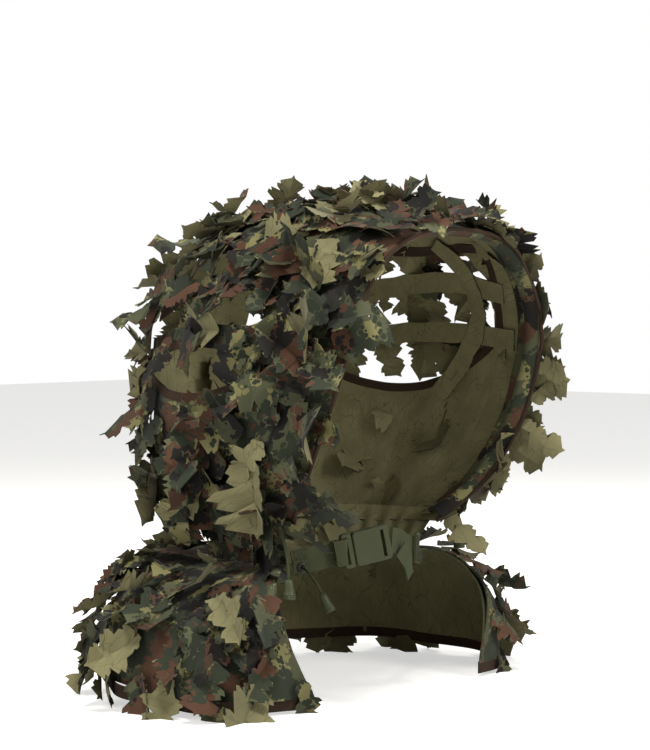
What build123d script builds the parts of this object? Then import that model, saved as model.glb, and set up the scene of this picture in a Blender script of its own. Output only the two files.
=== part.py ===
from build123d import *

"""A leaf ghillie hood: a deep hood with open net-like side windows, joined to a short shoulder
cape that is open at the front and closed by a webbing strap with a side release buckle.

Frame: +Z up, the wearer faces -Y, and +X is the wearer's left. The origin is the centre of the
wearer's neck at the collar. Everything is in millimetres.
"""

import math
import os

os.makedirs("parts", exist_ok=True)

# ---------------------------------------------------------------- driving dimensions
CLOTH = 1.6  # thickness of a doubled cloth panel
TAPE = 1.2  # thickness of a strap or binding tape
SEAM = 0.8  # free gap between neighbouring panels
LEAF = 0.8  # thickness of a cut leaf

# the hood is a pillow shape about this centre
HOOD_Y, HOOD_Z = -20.0, 165.0
HOOD_HALF_WIDTH = 165.0
HOOD_FRONT, HOOD_REAR = 262.0, 178.0
HOOD_UP, HOOD_DOWN = 170.0, 178.0
PROFILE_POWER = 2.3  # roundness of the side profile
BULGE_POWER = 2.6  # roundness from side to side
HOOD_HEM = 17.0  # height of the hood's lower edge
BRIM_FRONT, BRIM_SWEEP, BRIM_TOP = -168.0, 110.0, 312.0
BRIM_BAND = 54.0  # width of the panel round the face
BAND_HALF = 52.0  # half width of the rear panel, and the least of the crown
WINDOW_HEAD = 298.0  # the crown panel comes down to here at both sides, over the windows

# the cape is a shallow bell from the collar out to its lower edge
COLLAR_Z, COLLAR_HEIGHT = -9.0, 22.0
COLLAR_HALF, COLLAR_REAR, COLLAR_FRONT = 104.0, 92.0, 92.0
HEM_HALF, HEM_REAR, HEM_FRONT = 238.0, 166.0, 112.0
CAPE_DROP = 112.0
CAPE_LEAN = 0.12  # how much higher the back of the cape sits than its front
OUTLINE_POWER = 2.5
FRONT_EDGE_TOP, FRONT_EDGE_LOW = 113.0, 127.0  # bearing of the front edge, from the back

# the throat strap and its buckle
WEBBING_WIDTH, WEBBING = 25.0, 1.6
BUCKLE_AT = Vector(-45.0, -77.0, 4.0)  # centre of the socket's mouth
BUCKLE_TURN, BUCKLE_RISE = -30.0, 11.0  # degrees, of the way from the plug to the socket
PULL_CORD = 2.8  # diameter of the drawcord
BELL_LENGTH, BELL_NECK, BELL_MOUTH, BELL_RIM = 19.0, 4.0, 6.0, 3.5  # the pull on a cord's end


# ---------------------------------------------------------------- the two body surfaces
def superellipse(a, b, power):
    """The distance-like sum of two shares, 1 on the outline."""
    return (abs(a) ** power + abs(b) ** power) ** (1 / power)


def hood_side(y, z, offset=0.0):
    """A point of the hood's left side, from its place in the side view."""
    dy, dz = y - HOOD_Y, z - HOOD_Z
    share = superellipse(
        dy / (HOOD_REAR if dy > 0 else HOOD_FRONT),
        dz / (HOOD_UP if dz > 0 else HOOD_DOWN),
        PROFILE_POWER,
    )
    x = HOOD_HALF_WIDTH * max(0.0, 1 - share**BULGE_POWER) ** (1 / BULGE_POWER)
    grow = 1 + offset / HOOD_HALF_WIDTH
    return Vector(x * grow, HOOD_Y + dy * grow, HOOD_Z + dz * grow)


def hood_normal(y, z):
    """The way that the hood's left side looks, at a place in the side view."""
    backward = hood_side(y + 2, z) - hood_side(y - 2, z)
    upward = hood_side(y, z + 2) - hood_side(y, z - 2)
    return backward.cross(upward).normalized()


def hood_band(turn, x):
    """A point near the hood's centre line. turn is 0 at the back, 90 on top and 180 in front."""
    dy, dz = math.cos(math.radians(turn)), math.sin(math.radians(turn))
    reach = 1 / superellipse(
        dy / (HOOD_REAR if dy > 0 else HOOD_FRONT),
        dz / (HOOD_UP if dz > 0 else HOOD_DOWN),
        PROFILE_POWER,
    )
    share = (1 - (abs(x) / HOOD_HALF_WIDTH) ** BULGE_POWER) ** (1 / BULGE_POWER)
    return Vector(x, HOOD_Y + dy * reach * share, HOOD_Z + dz * reach * share)


def brim_y(z):
    """The face opening's edge in the side view: nearly upright above, swept back below."""
    fall = max(0.0, BRIM_TOP - z) / (BRIM_TOP - HOOD_HEM)
    return BRIM_FRONT + BRIM_SWEEP * fall**2.5


def cape(bearing, down, offset=0.0):
    """A point of the cape. bearing is from the back, + to the left, and down is 0 to 1."""
    sx, sy = math.sin(math.radians(bearing)), math.cos(math.radians(bearing))
    rings = []
    for half, rear, front in (
        (COLLAR_HALF, COLLAR_REAR, COLLAR_FRONT),
        (HEM_HALF, HEM_REAR, HEM_FRONT),
    ):
        depth = rear if sy > 0 else front
        rings.append(1 / superellipse(sx / half, sy / depth, OUTLINE_POWER))
    angle = down * math.pi / 2
    boxy = 1 / (1.3 + 0.3 * sy)  # flatter shoulders behind, a rounder fall in front
    outward = math.sin(angle) ** boxy
    radius = rings[0] + (rings[1] - rings[0]) * outward
    z = COLLAR_Z - CAPE_DROP * (1 - max(0.0, math.cos(angle)) ** boxy)
    z += CAPE_LEAN * (radius - rings[0]) * sy
    radius += offset * math.sin(angle)
    return Vector(radius * sx, radius * sy, z + offset * math.cos(angle))


def front_edge(down):
    """The bearing of the cape's front edge."""
    return FRONT_EDGE_TOP + (FRONT_EDGE_LOW - FRONT_EDGE_TOP) * down**2


# ---------------------------------------------------------------- helpers
def steps(first, last, count):
    return [first + (last - first) * i / (count - 1) for i in range(count)]


def mirrored(point):
    return Vector(-point.X, point.Y, point.Z)


def solve(value, low, high):
    """Where a rising or falling function crosses zero between low and high."""
    rising = value(high) > value(low)
    for _ in range(60):
        middle = (low + high) / 2
        if (value(middle) > 0) == rising:
            high = middle
        else:
            low = middle
    return (low + high) / 2


def patch(rows, side=1, centre=Vector(0, 0, 60)):
    """A smooth face through rows of points that looks away from centre. side -1 mirrors it."""
    if side < 0:
        rows = [[mirrored(p) for p in row] for row in rows]
    face = Face.make_surface_from_array_of_points(rows, tol=0.05, min_deg=2, max_deg=5)
    middle = face.position_at(0.5, 0.5)
    if face.normal_at(middle).dot(middle - centre) < 0:
        rows = [row[::-1] for row in rows]
        face = Face.make_surface_from_array_of_points(rows, tol=0.05, min_deg=2, max_deg=5)
    return face


def save(shape, name):
    shape.label = name
    export_step(shape, f"parts/{name}.step")


SIDES = (("left", 1), ("right", -1))


# ---------------------------------------------------------------- places on the hood
def brim_point(bearing, inset, offset=0.0):
    """A point of the face opening's rim, seen from the front: bearing 0 is the top centre."""
    sx, sz = math.sin(math.radians(bearing)), math.cos(math.radians(bearing))

    def place(radius):
        z = HOOD_Z + radius * sz
        return radius * sx, brim_y(z) + inset, z

    def outside(radius):
        x, y, z = place(radius)
        dz = z - HOOD_Z
        share = superellipse(
            (y - HOOD_Y) / HOOD_FRONT, dz / (HOOD_UP if dz > 0 else HOOD_DOWN), PROFILE_POWER
        )
        return superellipse(x / HOOD_HALF_WIDTH, share, BULGE_POWER) - 1

    x, y, z = place(solve(outside, 20.0, 260.0))
    grow = 1 + offset / HOOD_HALF_WIDTH
    return Vector(x * grow, HOOD_Y + (y - HOOD_Y) * grow, HOOD_Z + (z - HOOD_Z) * grow)


BRIM_END = solve(lambda b: brim_point(b, BRIM_BAND / 2).Z - HOOD_HEM - 1, 100.0, 160.0)
CROWN_REAR = 45.0
NAPE = solve(lambda t: hood_band(t, 0).Z - HOOD_HEM, -80.0, -20.0)


def crown_height(x, y):
    """How high the hood's surface lies over a place of its plan."""
    wide = (1 - (abs(x) / HOOD_HALF_WIDTH) ** BULGE_POWER) ** (1 / BULGE_POWER)
    long = abs(y - HOOD_Y) / (HOOD_REAR if y > HOOD_Y else HOOD_FRONT)
    room = max(0.0, wide**PROFILE_POWER - long**PROFILE_POWER)
    return HOOD_Z + HOOD_UP * room ** (1 / PROFILE_POWER)


def crown_half(y):
    """Half the crown panel's width: out to the windows' heads."""
    if crown_height(BAND_HALF, y) < WINDOW_HEAD:
        return BAND_HALF
    return solve(lambda x: crown_height(x, y) - WINDOW_HEAD, BAND_HALF, 160.0)


CROWN_START = BRIM_FRONT + BRIM_BAND + SEAM


def crown_point(along, across):
    """A point of the crown panel. along is 0 in front to 1 behind, and across is -1 to 1."""
    end = hood_band(CROWN_REAR, 0).Y
    x = across * crown_half(CROWN_START + (end - CROWN_START) * along)
    y = CROWN_START + (hood_band(CROWN_REAR, x).Y - CROWN_START) * along
    return Vector(x, y, crown_height(x, y))


def side_rear_y(z):
    """Where the side panel meets the crown and rear panels, in the side view."""
    edge = (1 - ((BAND_HALF + SEAM) / HOOD_HALF_WIDTH) ** BULGE_POWER) ** (1 / BULGE_POWER)
    dz = (z - HOOD_Z) / (HOOD_UP if z > HOOD_Z else HOOD_DOWN)
    room = max(0.0, edge**PROFILE_POWER - abs(dz) ** PROFILE_POWER)
    return HOOD_Y + HOOD_REAR * room ** (1 / PROFILE_POWER)


WINDOW_LOW, WINDOW_CORNER = 150.0, 206.0  # the side window's lower edge: middle and ends


def window_sill(along):
    """Height of the window's lower edge, from 0 at the brim to 1 at the rear panel."""
    return WINDOW_LOW + (WINDOW_CORNER - WINDOW_LOW) * abs(2 * along - 1) ** 2.2


def cheek_point(along, up):
    z = HOOD_HEM + (window_sill(along) - HOOD_HEM) * up
    front = brim_y(z) + BRIM_BAND + SEAM
    return hood_side(front + (side_rear_y(z) - front) * along, z)


def strip_along(points, width, offset):
    """Rows of a strap of that width on the hood's side, along points of the side view."""
    rows = []
    for i, (y, z) in enumerate(points):
        before, after = points[max(0, i - 1)], points[min(len(points) - 1, i + 1)]
        way = Vector(after[0] - before[0], after[1] - before[1]).normalized()
        rows.append(
            [
                hood_side(y - way.Y * share * width, z + way.X * share * width, offset)
                for share in (-0.5, -0.17, 0.17, 0.5)
            ]
        )
    return rows


# ---------------------------------------------------------------- hood panels
with BuildPart() as crown_panel:
    thicken(
        patch(
            [
                [crown_point(along, across) for across in steps(-1, 1, 15)]
                for along in steps(0, 1, 13)
            ]
        ),
        amount=-CLOTH,
    )
save(crown_panel.part, "crown_panel")

with BuildPart() as rear_panel:
    thicken(
        patch(
            [
                [hood_band(turn, x) for x in steps(-BAND_HALF, BAND_HALF, 7)]
                for turn in steps(CROWN_REAR - 0.4, NAPE, 10)
            ]
        ),
        amount=-CLOTH,
    )
save(rear_panel.part, "rear_panel")

for side, sign in SIDES:
    with BuildPart() as cheek_panel:
        thicken(
            patch(
                [[cheek_point(along, up) for up in steps(0, 1, 6)] for along in steps(0, 1, 9)],
                sign,
            ),
            amount=-CLOTH,
        )
    save(cheek_panel.part, f"cheek_panel_{side}")

with BuildPart() as brim_band:
    thicken(
        patch(
            [
                [brim_point(bearing, inset) for inset in steps(0, BRIM_BAND, 4)]
                for bearing in steps(-BRIM_END, BRIM_END, 25)
            ]
        ),
        amount=-CLOTH,
    )
save(brim_band.part, "brim_band")

FACING, FACING_OFFSET, CORD_OFFSET = 26.0, -8.0, -4.2
with BuildPart() as brim_facing:
    thicken(
        patch(
            [
                [brim_point(bearing, inset, FACING_OFFSET) for inset in steps(1, FACING, 4)]
                for bearing in steps(3 - BRIM_END, BRIM_END - 3, 25)
            ]
        ),
        amount=-TAPE,
    )
save(brim_facing.part, "brim_facing")

# ---------------------------------------------------------------- side windows
WINDOW_STRAP = 20.0
OUTER_STRAP, INNER_STRAP = -2.3, -4.3  # how far under the surface the two strap layers lie
WINDOW_STRAPS = (
    # name, layer, points of the side view from the front
    ("window_strap_upper", OUTER_STRAP, [(-122, 252), (-70, 262), (-10, 264), (50, 254), (104, 234)]),
    ("window_strap_lower", OUTER_STRAP, [(-126, 204), (-70, 210), (0, 212), (70, 206), (128, 190)]),
    ("window_strap_slanted", INNER_STRAP, [(-58, 306), (-78, 268), (-82, 228), (-60, 186), (-24, 146)]),
)
for side, sign in SIDES:
    for stem, layer, route in WINDOW_STRAPS:
        with BuildPart() as window_strap:
            thicken(patch(strip_along(route, WINDOW_STRAP, layer), sign), amount=-TAPE)
        save(window_strap.part, f"{stem}_{side}")

BINDING = 8.0
WINDOW_END = 94.0  # how far back the window's upper edge runs
for side, sign in SIDES:
    with BuildPart() as window_binding:
        thicken(
            patch(
                [
                    [cheek_point(along, 1) + Vector(0, 0, lift) for lift in steps(SEAM, BINDING, 3)]
                    for along in steps(0.01, 0.97, 11)
                ],
                sign,
            ),
            amount=-TAPE,
        )
        thicken(
            patch(
                [
                    [hood_side(y, WINDOW_HEAD - fall) for fall in steps(SEAM, BINDING, 3)]
                    for y in steps(CROWN_START, WINDOW_END, 12)
                ],
                sign,
            ),
            amount=-TAPE,
        )
    save(window_binding.part, f"window_binding_{side}")

# ---------------------------------------------------------------- cape and collar
SEAM_TURN = 0.5  # the gap between cape panels, in degrees
CAPE_DOWN = steps(0.02, 1.0, 8)


def cape_rows(first, last, count):
    """Rows of a cape panel. first and last give a bearing for each share down the cape."""
    return [
        [cape(first(down) + (last(down) - first(down)) * share, down) for down in CAPE_DOWN]
        for share in steps(0, 1, count)
    ]


SHOULDER_FROM, SHOULDER_TO = 47.0, 103.0
with BuildPart() as back_yoke:
    thicken(patch(cape_rows(lambda d: -SHOULDER_FROM, lambda d: SHOULDER_FROM, 11)), amount=-CLOTH)
save(back_yoke.part, "back_yoke")

for side, sign in SIDES:
    with BuildPart() as shoulder_panel:
        thicken(
            patch(
                cape_rows(lambda d: SHOULDER_FROM + SEAM_TURN, lambda d: SHOULDER_TO, 9), sign
            ),
            amount=-CLOTH,
        )
    save(shoulder_panel.part, f"shoulder_panel_{side}")
    with BuildPart() as front_panel:
        thicken(
            patch(cape_rows(lambda d: SHOULDER_TO + SEAM_TURN, front_edge, 6), sign), amount=-CLOTH
        )
    save(front_panel.part, f"front_panel_{side}")
    with BuildPart() as front_webbing:
        thicken(
            patch(
                [
                    [
                        cape(front_edge(down) - turn * (1 - 0.25 * down), down, -2.6)
                        for turn in steps(13, 0.5, 3)
                    ]
                    for down in steps(0.06, 0.98, 7)
                ],
                sign,
            ),
            amount=-WEBBING,
        )
    save(front_webbing.part, f"front_webbing_{side}")


outer = [cape(bearing, 0) for bearing in steps(-FRONT_EDGE_TOP, FRONT_EDGE_TOP, 31)]
outer = [Vector(p.X, p.Y, 0) for p in outer]
inner = [p - p.normalized() * CLOTH for p in reversed(outer)]
with BuildPart() as collar_band:
    with BuildSketch(Plane.XY.offset(COLLAR_Z + 1)):
        with BuildLine():
            Spline(*outer)
            Line(outer[-1], inner[0])
            Spline(*inner)
            Line(inner[-1], outer[0])
        make_face()
    extrude(amount=COLLAR_HEIGHT)
save(collar_band.part, "collar_band")

HEM_TAPE = 10.0
HEM_ENDS = (-FRONT_EDGE_LOW, -SHOULDER_FROM, SHOULDER_FROM, FRONT_EDGE_LOW)
with BuildPart() as hem_tape:
    for first, last in zip(HEM_ENDS, HEM_ENDS[1:]):
        thicken(
            patch(
                [
                    [cape(bearing, 1) - Vector(0, 0, fall) for fall in steps(SEAM, HEM_TAPE, 3)]
                    for bearing in steps(first + SEAM_TURN / 2, last - SEAM_TURN / 2, 12)
                ],
                centre=Vector(0, 0, COLLAR_Z - CAPE_DROP),
            ),
            amount=-CLOTH,
        )
save(hem_tape.part, "hem_tape")

# ---------------------------------------------------------------- throat strap and buckle
turn, rise = math.radians(BUCKLE_TURN), math.radians(BUCKLE_RISE)
ALONG = Vector(math.cos(rise) * math.cos(turn), math.cos(rise) * math.sin(turn), math.sin(rise))
ACROSS = (Vector(0, 0, 1) - ALONG * ALONG.Z).normalized()
OUTWARD = ALONG.cross(ACROSS)
BUCKLE = Plane(origin=BUCKLE_AT, x_dir=ALONG, z_dir=OUTWARD)

SOCKET_LENGTH, SOCKET_WIDTH, SOCKET_THICK = 38.0, 34.0, 9.0
CAVITY_LENGTH, CAVITY_WIDTH, CAVITY_THICK = 27.0, 30.0, 5.6
WINDOW_START, WINDOW_LENGTH = 8.0, 13.0
SLOT_WIDTH, SLOT_LENGTH = 26.5, 3.6
BAR_LENGTH, BAR_THICK = 11.0, 6.0
ARM_LENGTH, ARM_WIDTH, ARM_THICK = 23.0, 4.2, 4.4
ARM_OUTER = CAVITY_WIDTH / 2 - 0.3
ARM_CATCH = 0.9  # how far the latch stands out into the socket's side window
ARM_GAP = 0.5  # between the arm's root and the plug's bar
TONGUE_LENGTH, TONGUE_WIDTH, TONGUE_THICK = 17.0, 6.0, 3.0


def buckle_point(along, outward, across=0.0):
    return BUCKLE_AT + ALONG * along + OUTWARD * outward + ACROSS * across


with BuildPart() as buckle_socket:
    with BuildSketch(BUCKLE.offset(-SOCKET_THICK / 2)):
        with Locations((SOCKET_LENGTH / 2, 0)):
            RectangleRounded(SOCKET_LENGTH, SOCKET_WIDTH, 4)
    extrude(amount=SOCKET_THICK)
    fillet(buckle_socket.edges().group_by(Axis(BUCKLE_AT, OUTWARD))[-1], 1.6)
    fillet(buckle_socket.edges().group_by(Axis(BUCKLE_AT, OUTWARD))[0], 1.6)
    with BuildSketch(BUCKLE.offset(-CAVITY_THICK / 2)):
        with Locations((CAVITY_LENGTH / 2 - 1, 0)):
            Rectangle(CAVITY_LENGTH + 2, CAVITY_WIDTH)
    extrude(amount=CAVITY_THICK, mode=Mode.SUBTRACT)
    with BuildSketch(BUCKLE.offset(-CAVITY_THICK / 2)):
        with Locations((WINDOW_START + WINDOW_LENGTH / 2, 0)):
            Rectangle(WINDOW_LENGTH, SOCKET_WIDTH + 4)
    extrude(amount=CAVITY_THICK, mode=Mode.SUBTRACT)
    with BuildSketch(BUCKLE.offset(-SOCKET_THICK)):
        with Locations((CAVITY_LENGTH + 3.6, 0)):
            Rectangle(SLOT_LENGTH, SLOT_WIDTH)
    extrude(amount=2 * SOCKET_THICK, mode=Mode.SUBTRACT)
save(buckle_socket.part, "buckle_socket")

with BuildPart() as buckle_plug:
    with BuildSketch(BUCKLE.offset(-BAR_THICK / 2)):
        with Locations((-BAR_LENGTH / 2 - 0.4, 0)):
            RectangleRounded(BAR_LENGTH, SOCKET_WIDTH, 3)
    extrude(amount=BAR_THICK)
    fillet(buckle_plug.edges().group_by(Axis(BUCKLE_AT, OUTWARD))[-1], 1.2)
    with BuildSketch(BUCKLE.offset(-SOCKET_THICK)):
        with Locations((-BAR_LENGTH / 2 - 1.6, 0)):
            Rectangle(SLOT_LENGTH, SLOT_WIDTH)
    extrude(amount=2 * SOCKET_THICK, mode=Mode.SUBTRACT)
    with BuildSketch(BUCKLE.offset(-TONGUE_THICK / 2)):
        with Locations((TONGUE_LENGTH / 2 - 1.0, 0)):
            Rectangle(TONGUE_LENGTH + 1.2, TONGUE_WIDTH)
    extrude(amount=TONGUE_THICK)
save(buckle_plug.part, "buckle_plug")

for stem, hand in (("upper", 1), ("lower", -1)):
    with BuildPart() as latch_arm:
        with BuildSketch(BUCKLE.offset(-ARM_THICK / 2)):
            with BuildLine():
                Polyline(
                    [
                        (ARM_GAP, hand * (ARM_OUTER - ARM_WIDTH)),
                        (ARM_GAP, hand * (ARM_OUTER - 1.2)),
                        (WINDOW_START + 1, hand * (ARM_OUTER - 0.4)),
                        (WINDOW_START + WINDOW_LENGTH - 3.5, hand * (ARM_OUTER + ARM_CATCH)),
                        (WINDOW_START + WINDOW_LENGTH - 1.5, hand * (ARM_OUTER + ARM_CATCH)),
                        (ARM_LENGTH, hand * (ARM_OUTER - ARM_WIDTH + 0.8)),
                        (ARM_LENGTH, hand * (ARM_OUTER - ARM_WIDTH - 1.2)),
                        (WINDOW_START + 4, hand * (ARM_OUTER - ARM_WIDTH - 1.6)),
                    ],
                    close=True,
                )
            make_face()
        extrude(amount=ARM_THICK)
    save(latch_arm.part, f"latch_arm_{stem}")


def webbing_rows(route, width):
    """Rows of an upright strap along a route round the throat."""
    rows = []
    for i, place in enumerate(route):
        way = (route[min(i + 1, len(route) - 1)] - route[max(i - 1, 0)]).normalized()
        up = (Vector(0, 0, 1) - way * way.Z).normalized()
        rows.append([place + up * (share * width) for share in (-0.5, 0, 0.5)])
    return rows


UNDER_PLUG = -3.7  # the strap lies this far inside the plug's middle, so that the plug slides over it
LEFT_ANCHOR = Vector(97.5, -46, -9)
THROAT = Vector(0, 20, 0)


def strap(name, route, width=WEBBING_WIDTH):
    with BuildPart() as webbing:
        thicken(patch(webbing_rows(route, width), centre=THROAT), amount=-WEBBING)
    save(webbing.part, name)


strap("throat_strap_right", [buckle_point(reach, UNDER_PLUG) for reach in (-62, -46, -30, -14)])
strap(
    "throat_strap_left",
    [
        buckle_point(SOCKET_LENGTH + 6, 0.8),
        Vector(14, -91, 7),
        Vector(40, -77, 0),
        Vector(70, -61, -5),
        LEFT_ANCHOR,
    ],
)
strap("strap_tail", [Vector(2, -99, 2), Vector(13, -99, -10), Vector(20, -97, -26)], 18)

LOOP_REACH = 8.0
with BuildPart() as plug_webbing:
    for layer in (-0.7, 1.9):
        with BuildSketch(BUCKLE.offset(layer)):
            with Locations((-BAR_LENGTH - 1 - LOOP_REACH / 2, 0)):
                Rectangle(LOOP_REACH, WEBBING_WIDTH)
        extrude(amount=WEBBING)
    with BuildSketch(BUCKLE.offset(-0.7)):
        with Locations((-BAR_LENGTH - 1.9, 0)):
            Rectangle(1.8, WEBBING_WIDTH)
    extrude(amount=2.6 + WEBBING)
save(plug_webbing.part, "plug_webbing")

TRI_GLIDE = Plane(origin=(72, -62.6, -5), x_dir=(0.9, 0.42, -0.13), z_dir=(0.42, -0.9, 0))
with BuildPart() as tri_glide:
    with BuildSketch(TRI_GLIDE):
        RectangleRounded(15, 31, 2.5)
        with Locations((-3.6, 0), (3.6, 0)):
            Rectangle(3.6, SLOT_WIDTH, mode=Mode.SUBTRACT)
    extrude(amount=2.4)
save(tri_glide.part, "tri_glide")


# ---------------------------------------------------------------- drawcords, eyelets and pulls
def cord_radii(points):
    """Each corner's arc: as large as its two runs allow."""
    radii = []
    for a, b, c in zip(points, points[1:], points[2:]):
        turned = math.radians((b - a).get_angle(c - b))
        radii.append(0.45 * min((b - a).length, (c - b).length) / math.tan(turned / 2))
    return radii


def cord_tube(name, points):
    radii = cord_radii(points)
    with BuildPart() as cord:
        with BuildLine():
            path = FilletPolyline(*points, radius=radii)
        with BuildSketch(Plane(origin=path @ 0, z_dir=path % 0)):
            Circle(PULL_CORD / 2)
        sweep()
    share = cord.part.volume / (math.pi * PULL_CORD**2 / 4 * path.length)
    print(name, "length", round(path.length, 1), "volume share", round(share, 4))
    print(name, "radii", [round(r, 1) for r in radii])
    save(cord.part, name)


def bell(name, top, way):
    """A moulded bell pull: narrow where the cord goes in, wider at its rim."""
    beside = (1, 0, 0) if abs(way.X) < 0.9 else (0, 1, 0)
    rim = top + way * (BELL_LENGTH - BELL_RIM)
    with BuildPart() as moulding:
        with BuildSketch(Plane(origin=top, x_dir=beside, z_dir=way)):
            Circle(BELL_NECK)
        with BuildSketch(Plane(origin=rim, x_dir=beside, z_dir=way)):
            Circle(BELL_MOUTH)
        loft()
        with BuildSketch(Plane(origin=rim, x_dir=beside, z_dir=way)):
            Circle(BELL_MOUTH)
        extrude(amount=BELL_RIM)
        fillet(moulding.edges().filter_by(GeomType.CIRCLE), 0.8)
    save(moulding.part, name)


def eyelet(name, at, way):
    """A rolled metal eyelet: a flange with a hole for the cord."""
    with BuildPart() as ring:
        with BuildSketch(Plane(origin=at, z_dir=way)):
            Circle(5.0)
            Circle(2.2, mode=Mode.SUBTRACT)
        extrude(amount=1.0)
    save(ring.part, name)


cord_tube(
    "hood_drawcord",
    [brim_point(bearing, 6, CORD_OFFSET) for bearing in steps(5 - BRIM_END, BRIM_END - 5, 25)],
)


def pull(name, start, out, sideways, route):
    """A cord that leaves its eyelet outward, hangs, and ends in a bell.

    The route's points are (outward, down, sideways) from the cord's start.
    """
    points = [
        start + out * reach + sideways * aside - Vector(0, 0, fall) for reach, fall, aside in route
    ]
    cord_tube(f"{name}_pull_cord", points)
    bell(f"{name}_pull_bell", points[-1], (points[-1] - points[-2]).normalized())


HOOD_EYELET_BACK, HOOD_EYELET_Z = 17.0, 38.0  # behind the brim's edge, and up
LEFT_ROUTE = [
    (0, 0, 0),
    (4.6, 0.9, 0),
    (8.5, 3.5, 0),
    (11.1, 7.4, 0),
    (12, 12, 0),
    (12.3, 20, 0),
    (12.5, 28.5, 0),
]
RIGHT_ROUTE = [
    (0, 0, 0),
    (4.6, 1, 0.5),
    (7.5, 4.2, 4),
    (8.8, 9.5, 9),
    (9.4, 17, 14),
    (9.6, 28, 17.5),
    (9.7, 40, 19.4),
    (9.7, 52, 20),
]
for side, sign in SIDES:
    y = brim_y(HOOD_EYELET_Z) + HOOD_EYELET_BACK
    at, looks = hood_side(y, HOOD_EYELET_Z, 1.2), hood_normal(y, HOOD_EYELET_Z)
    if sign < 0:
        at, looks = mirrored(at), mirrored(looks)
    eyelet(f"hood_eyelet_{side}", at, looks)
    level = Vector(looks.X, looks.Y, 0).normalized()
    route = LEFT_ROUTE if side == "left" else RIGHT_ROUTE
    pull(f"hood_{side}", at + looks * 1.1, level, Vector(0, -1, 0), route)


TAB_LENGTH, TAB_WIDTH = 17.0, 13.0
TAB_FACE = 0.3 + TAPE
TAB_ROUTE = [
    (0, 0, 0),
    (6, 1.2, 1),
    (11, 5, 3.5),
    (14.5, 10.5, 6.5),
    (17.3, 16, 10),
    (19.2, 24, 13.2),
]
for side, middle, out in (
    ("left", Vector(88, -54.5, -16), Vector(0.42, -0.907, 0).normalized()),
    ("right", buckle_point(-54, UNDER_PLUG, -5), OUTWARD),
):
    along = Vector(-out.Y, out.X, 0)
    with BuildPart() as cord_tab:
        with BuildSketch(Plane(origin=middle + out * 0.3, x_dir=along, z_dir=out)):
            RectangleRounded(TAB_LENGTH, TAB_WIDTH, 2)
            Circle(2.2, mode=Mode.SUBTRACT)
        extrude(amount=TAPE)
    save(cord_tab.part, f"cord_tab_{side}")
    eyelet(f"tab_eyelet_{side}", middle + out * (TAB_FACE + 0.1), out)
    if side == "right":
        pull("tab_right", middle + out * (TAB_FACE + 1.2), out, along, TAB_ROUTE)


# ---------------------------------------------------------------- leaves
LEAF_LONG, LEAF_WIDE = 52.0, 40.0
LEAF_LOBES = 4


def leaf_outline():
    """A jagged oak-like leaf with its stalk end at the origin, pointing along +X."""
    half = []
    for lobe in range(LEAF_LOBES):
        share = (lobe + 0.55) / LEAF_LOBES
        width = LEAF_WIDE / 2 * math.sin(math.pi * min(1.0, 0.18 + 0.78 * share))
        half.append((LEAF_LONG * (share - 0.09), width * 0.62))
        half.append((LEAF_LONG * (share + 0.03), width))
    return [(0, 2.5), *half, (LEAF_LONG, 0), *[(x, -y) for x, y in reversed(half)], (0, -2.5)]


def leaves(name, places):
    """A group of leaves. Each place gives where it is sewn on, the way it looks and the way it points."""
    with BuildPart() as group:
        for at, normal, along in places:
            along = (along - normal * along.dot(normal)).normalized()
            with BuildSketch(Plane(origin=at + normal * 2.4, x_dir=along, z_dir=normal)):
                with BuildLine():
                    Polyline(leaf_outline(), close=True)
                make_face()
            extrude(amount=LEAF)
    save(group.part, name)


LIFT = 0.34  # how far a leaf stands off the cloth, as the tangent of its angle


def leaf_place(at, beside, ahead, centre, sign=1):
    """Where a leaf is sewn at a point, pointing to ahead. beside is a third point of the cloth."""
    along, across = ahead - at, beside - at
    normal = along.cross(across).normalized()
    if normal.dot(at - centre) < 0:
        normal = normal * -1
    along = along.normalized()
    tilted = (along + normal * LIFT).normalized()
    looks = (normal - tilted * normal.dot(tilted)).normalized()
    if sign < 0:
        at, looks, tilted = mirrored(at), mirrored(looks), mirrored(tilted)
    return at, looks, tilted


HOOD_CENTRE = Vector(0, HOOD_Y, HOOD_Z)


def band_leaves(turns, xs, step):
    return [
        leaf_place(hood_band(t, x), hood_band(t, x + 4), hood_band(t + step, x), HOOD_CENTRE)
        for t in turns
        for x in xs
    ]


leaves("leaves_crown", band_leaves([118, 98, 78, 60], [-26, 26], 3))
leaves("leaves_rear", band_leaves([30, 8, -14], [-26, 26], -3))

for side, sign in SIDES:
    leaves(
        f"leaves_cheek_{side}",
        [
            leaf_place(
                cheek_point(along, up),
                cheek_point(along + 0.05, up),
                cheek_point(along, up - 0.06),
                HOOD_CENTRE,
                sign,
            )
            for up in (0.92, 0.55)
            for along in (0.16, 0.42, 0.68, 0.9)
        ],
    )
    leaves(
        f"leaves_brim_{side}",
        [
            leaf_place(
                brim_point(b, 20), brim_point(b, 12), brim_point(b - 6, 20), HOOD_CENTRE, sign
            )
            for b in (42, 66, 90, 112)
        ],
    )
    leaves(
        f"leaves_shoulder_{side}",
        [
            leaf_place(
                cape(bearing, down), cape(bearing + 4, down), cape(bearing, down + 0.06),
                Vector(0, 0, -100), sign,
            )
            for down, bearings in ((0.34, (58, 80, 100)), (0.66, (56, 75, 94)))
            for bearing in bearings
        ],
    )

leaves(
    "leaves_back",
    [
        leaf_place(
            cape(bearing, down), cape(bearing + 4, down), cape(bearing, down + 0.06), Vector(0, 0, -100)
        )
        for down, bearings in ((0.4, (-36, -12, 12, 36)), (0.7, (-36, -12, 12, 36)))
        for bearing in bearings
    ],
)
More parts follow.
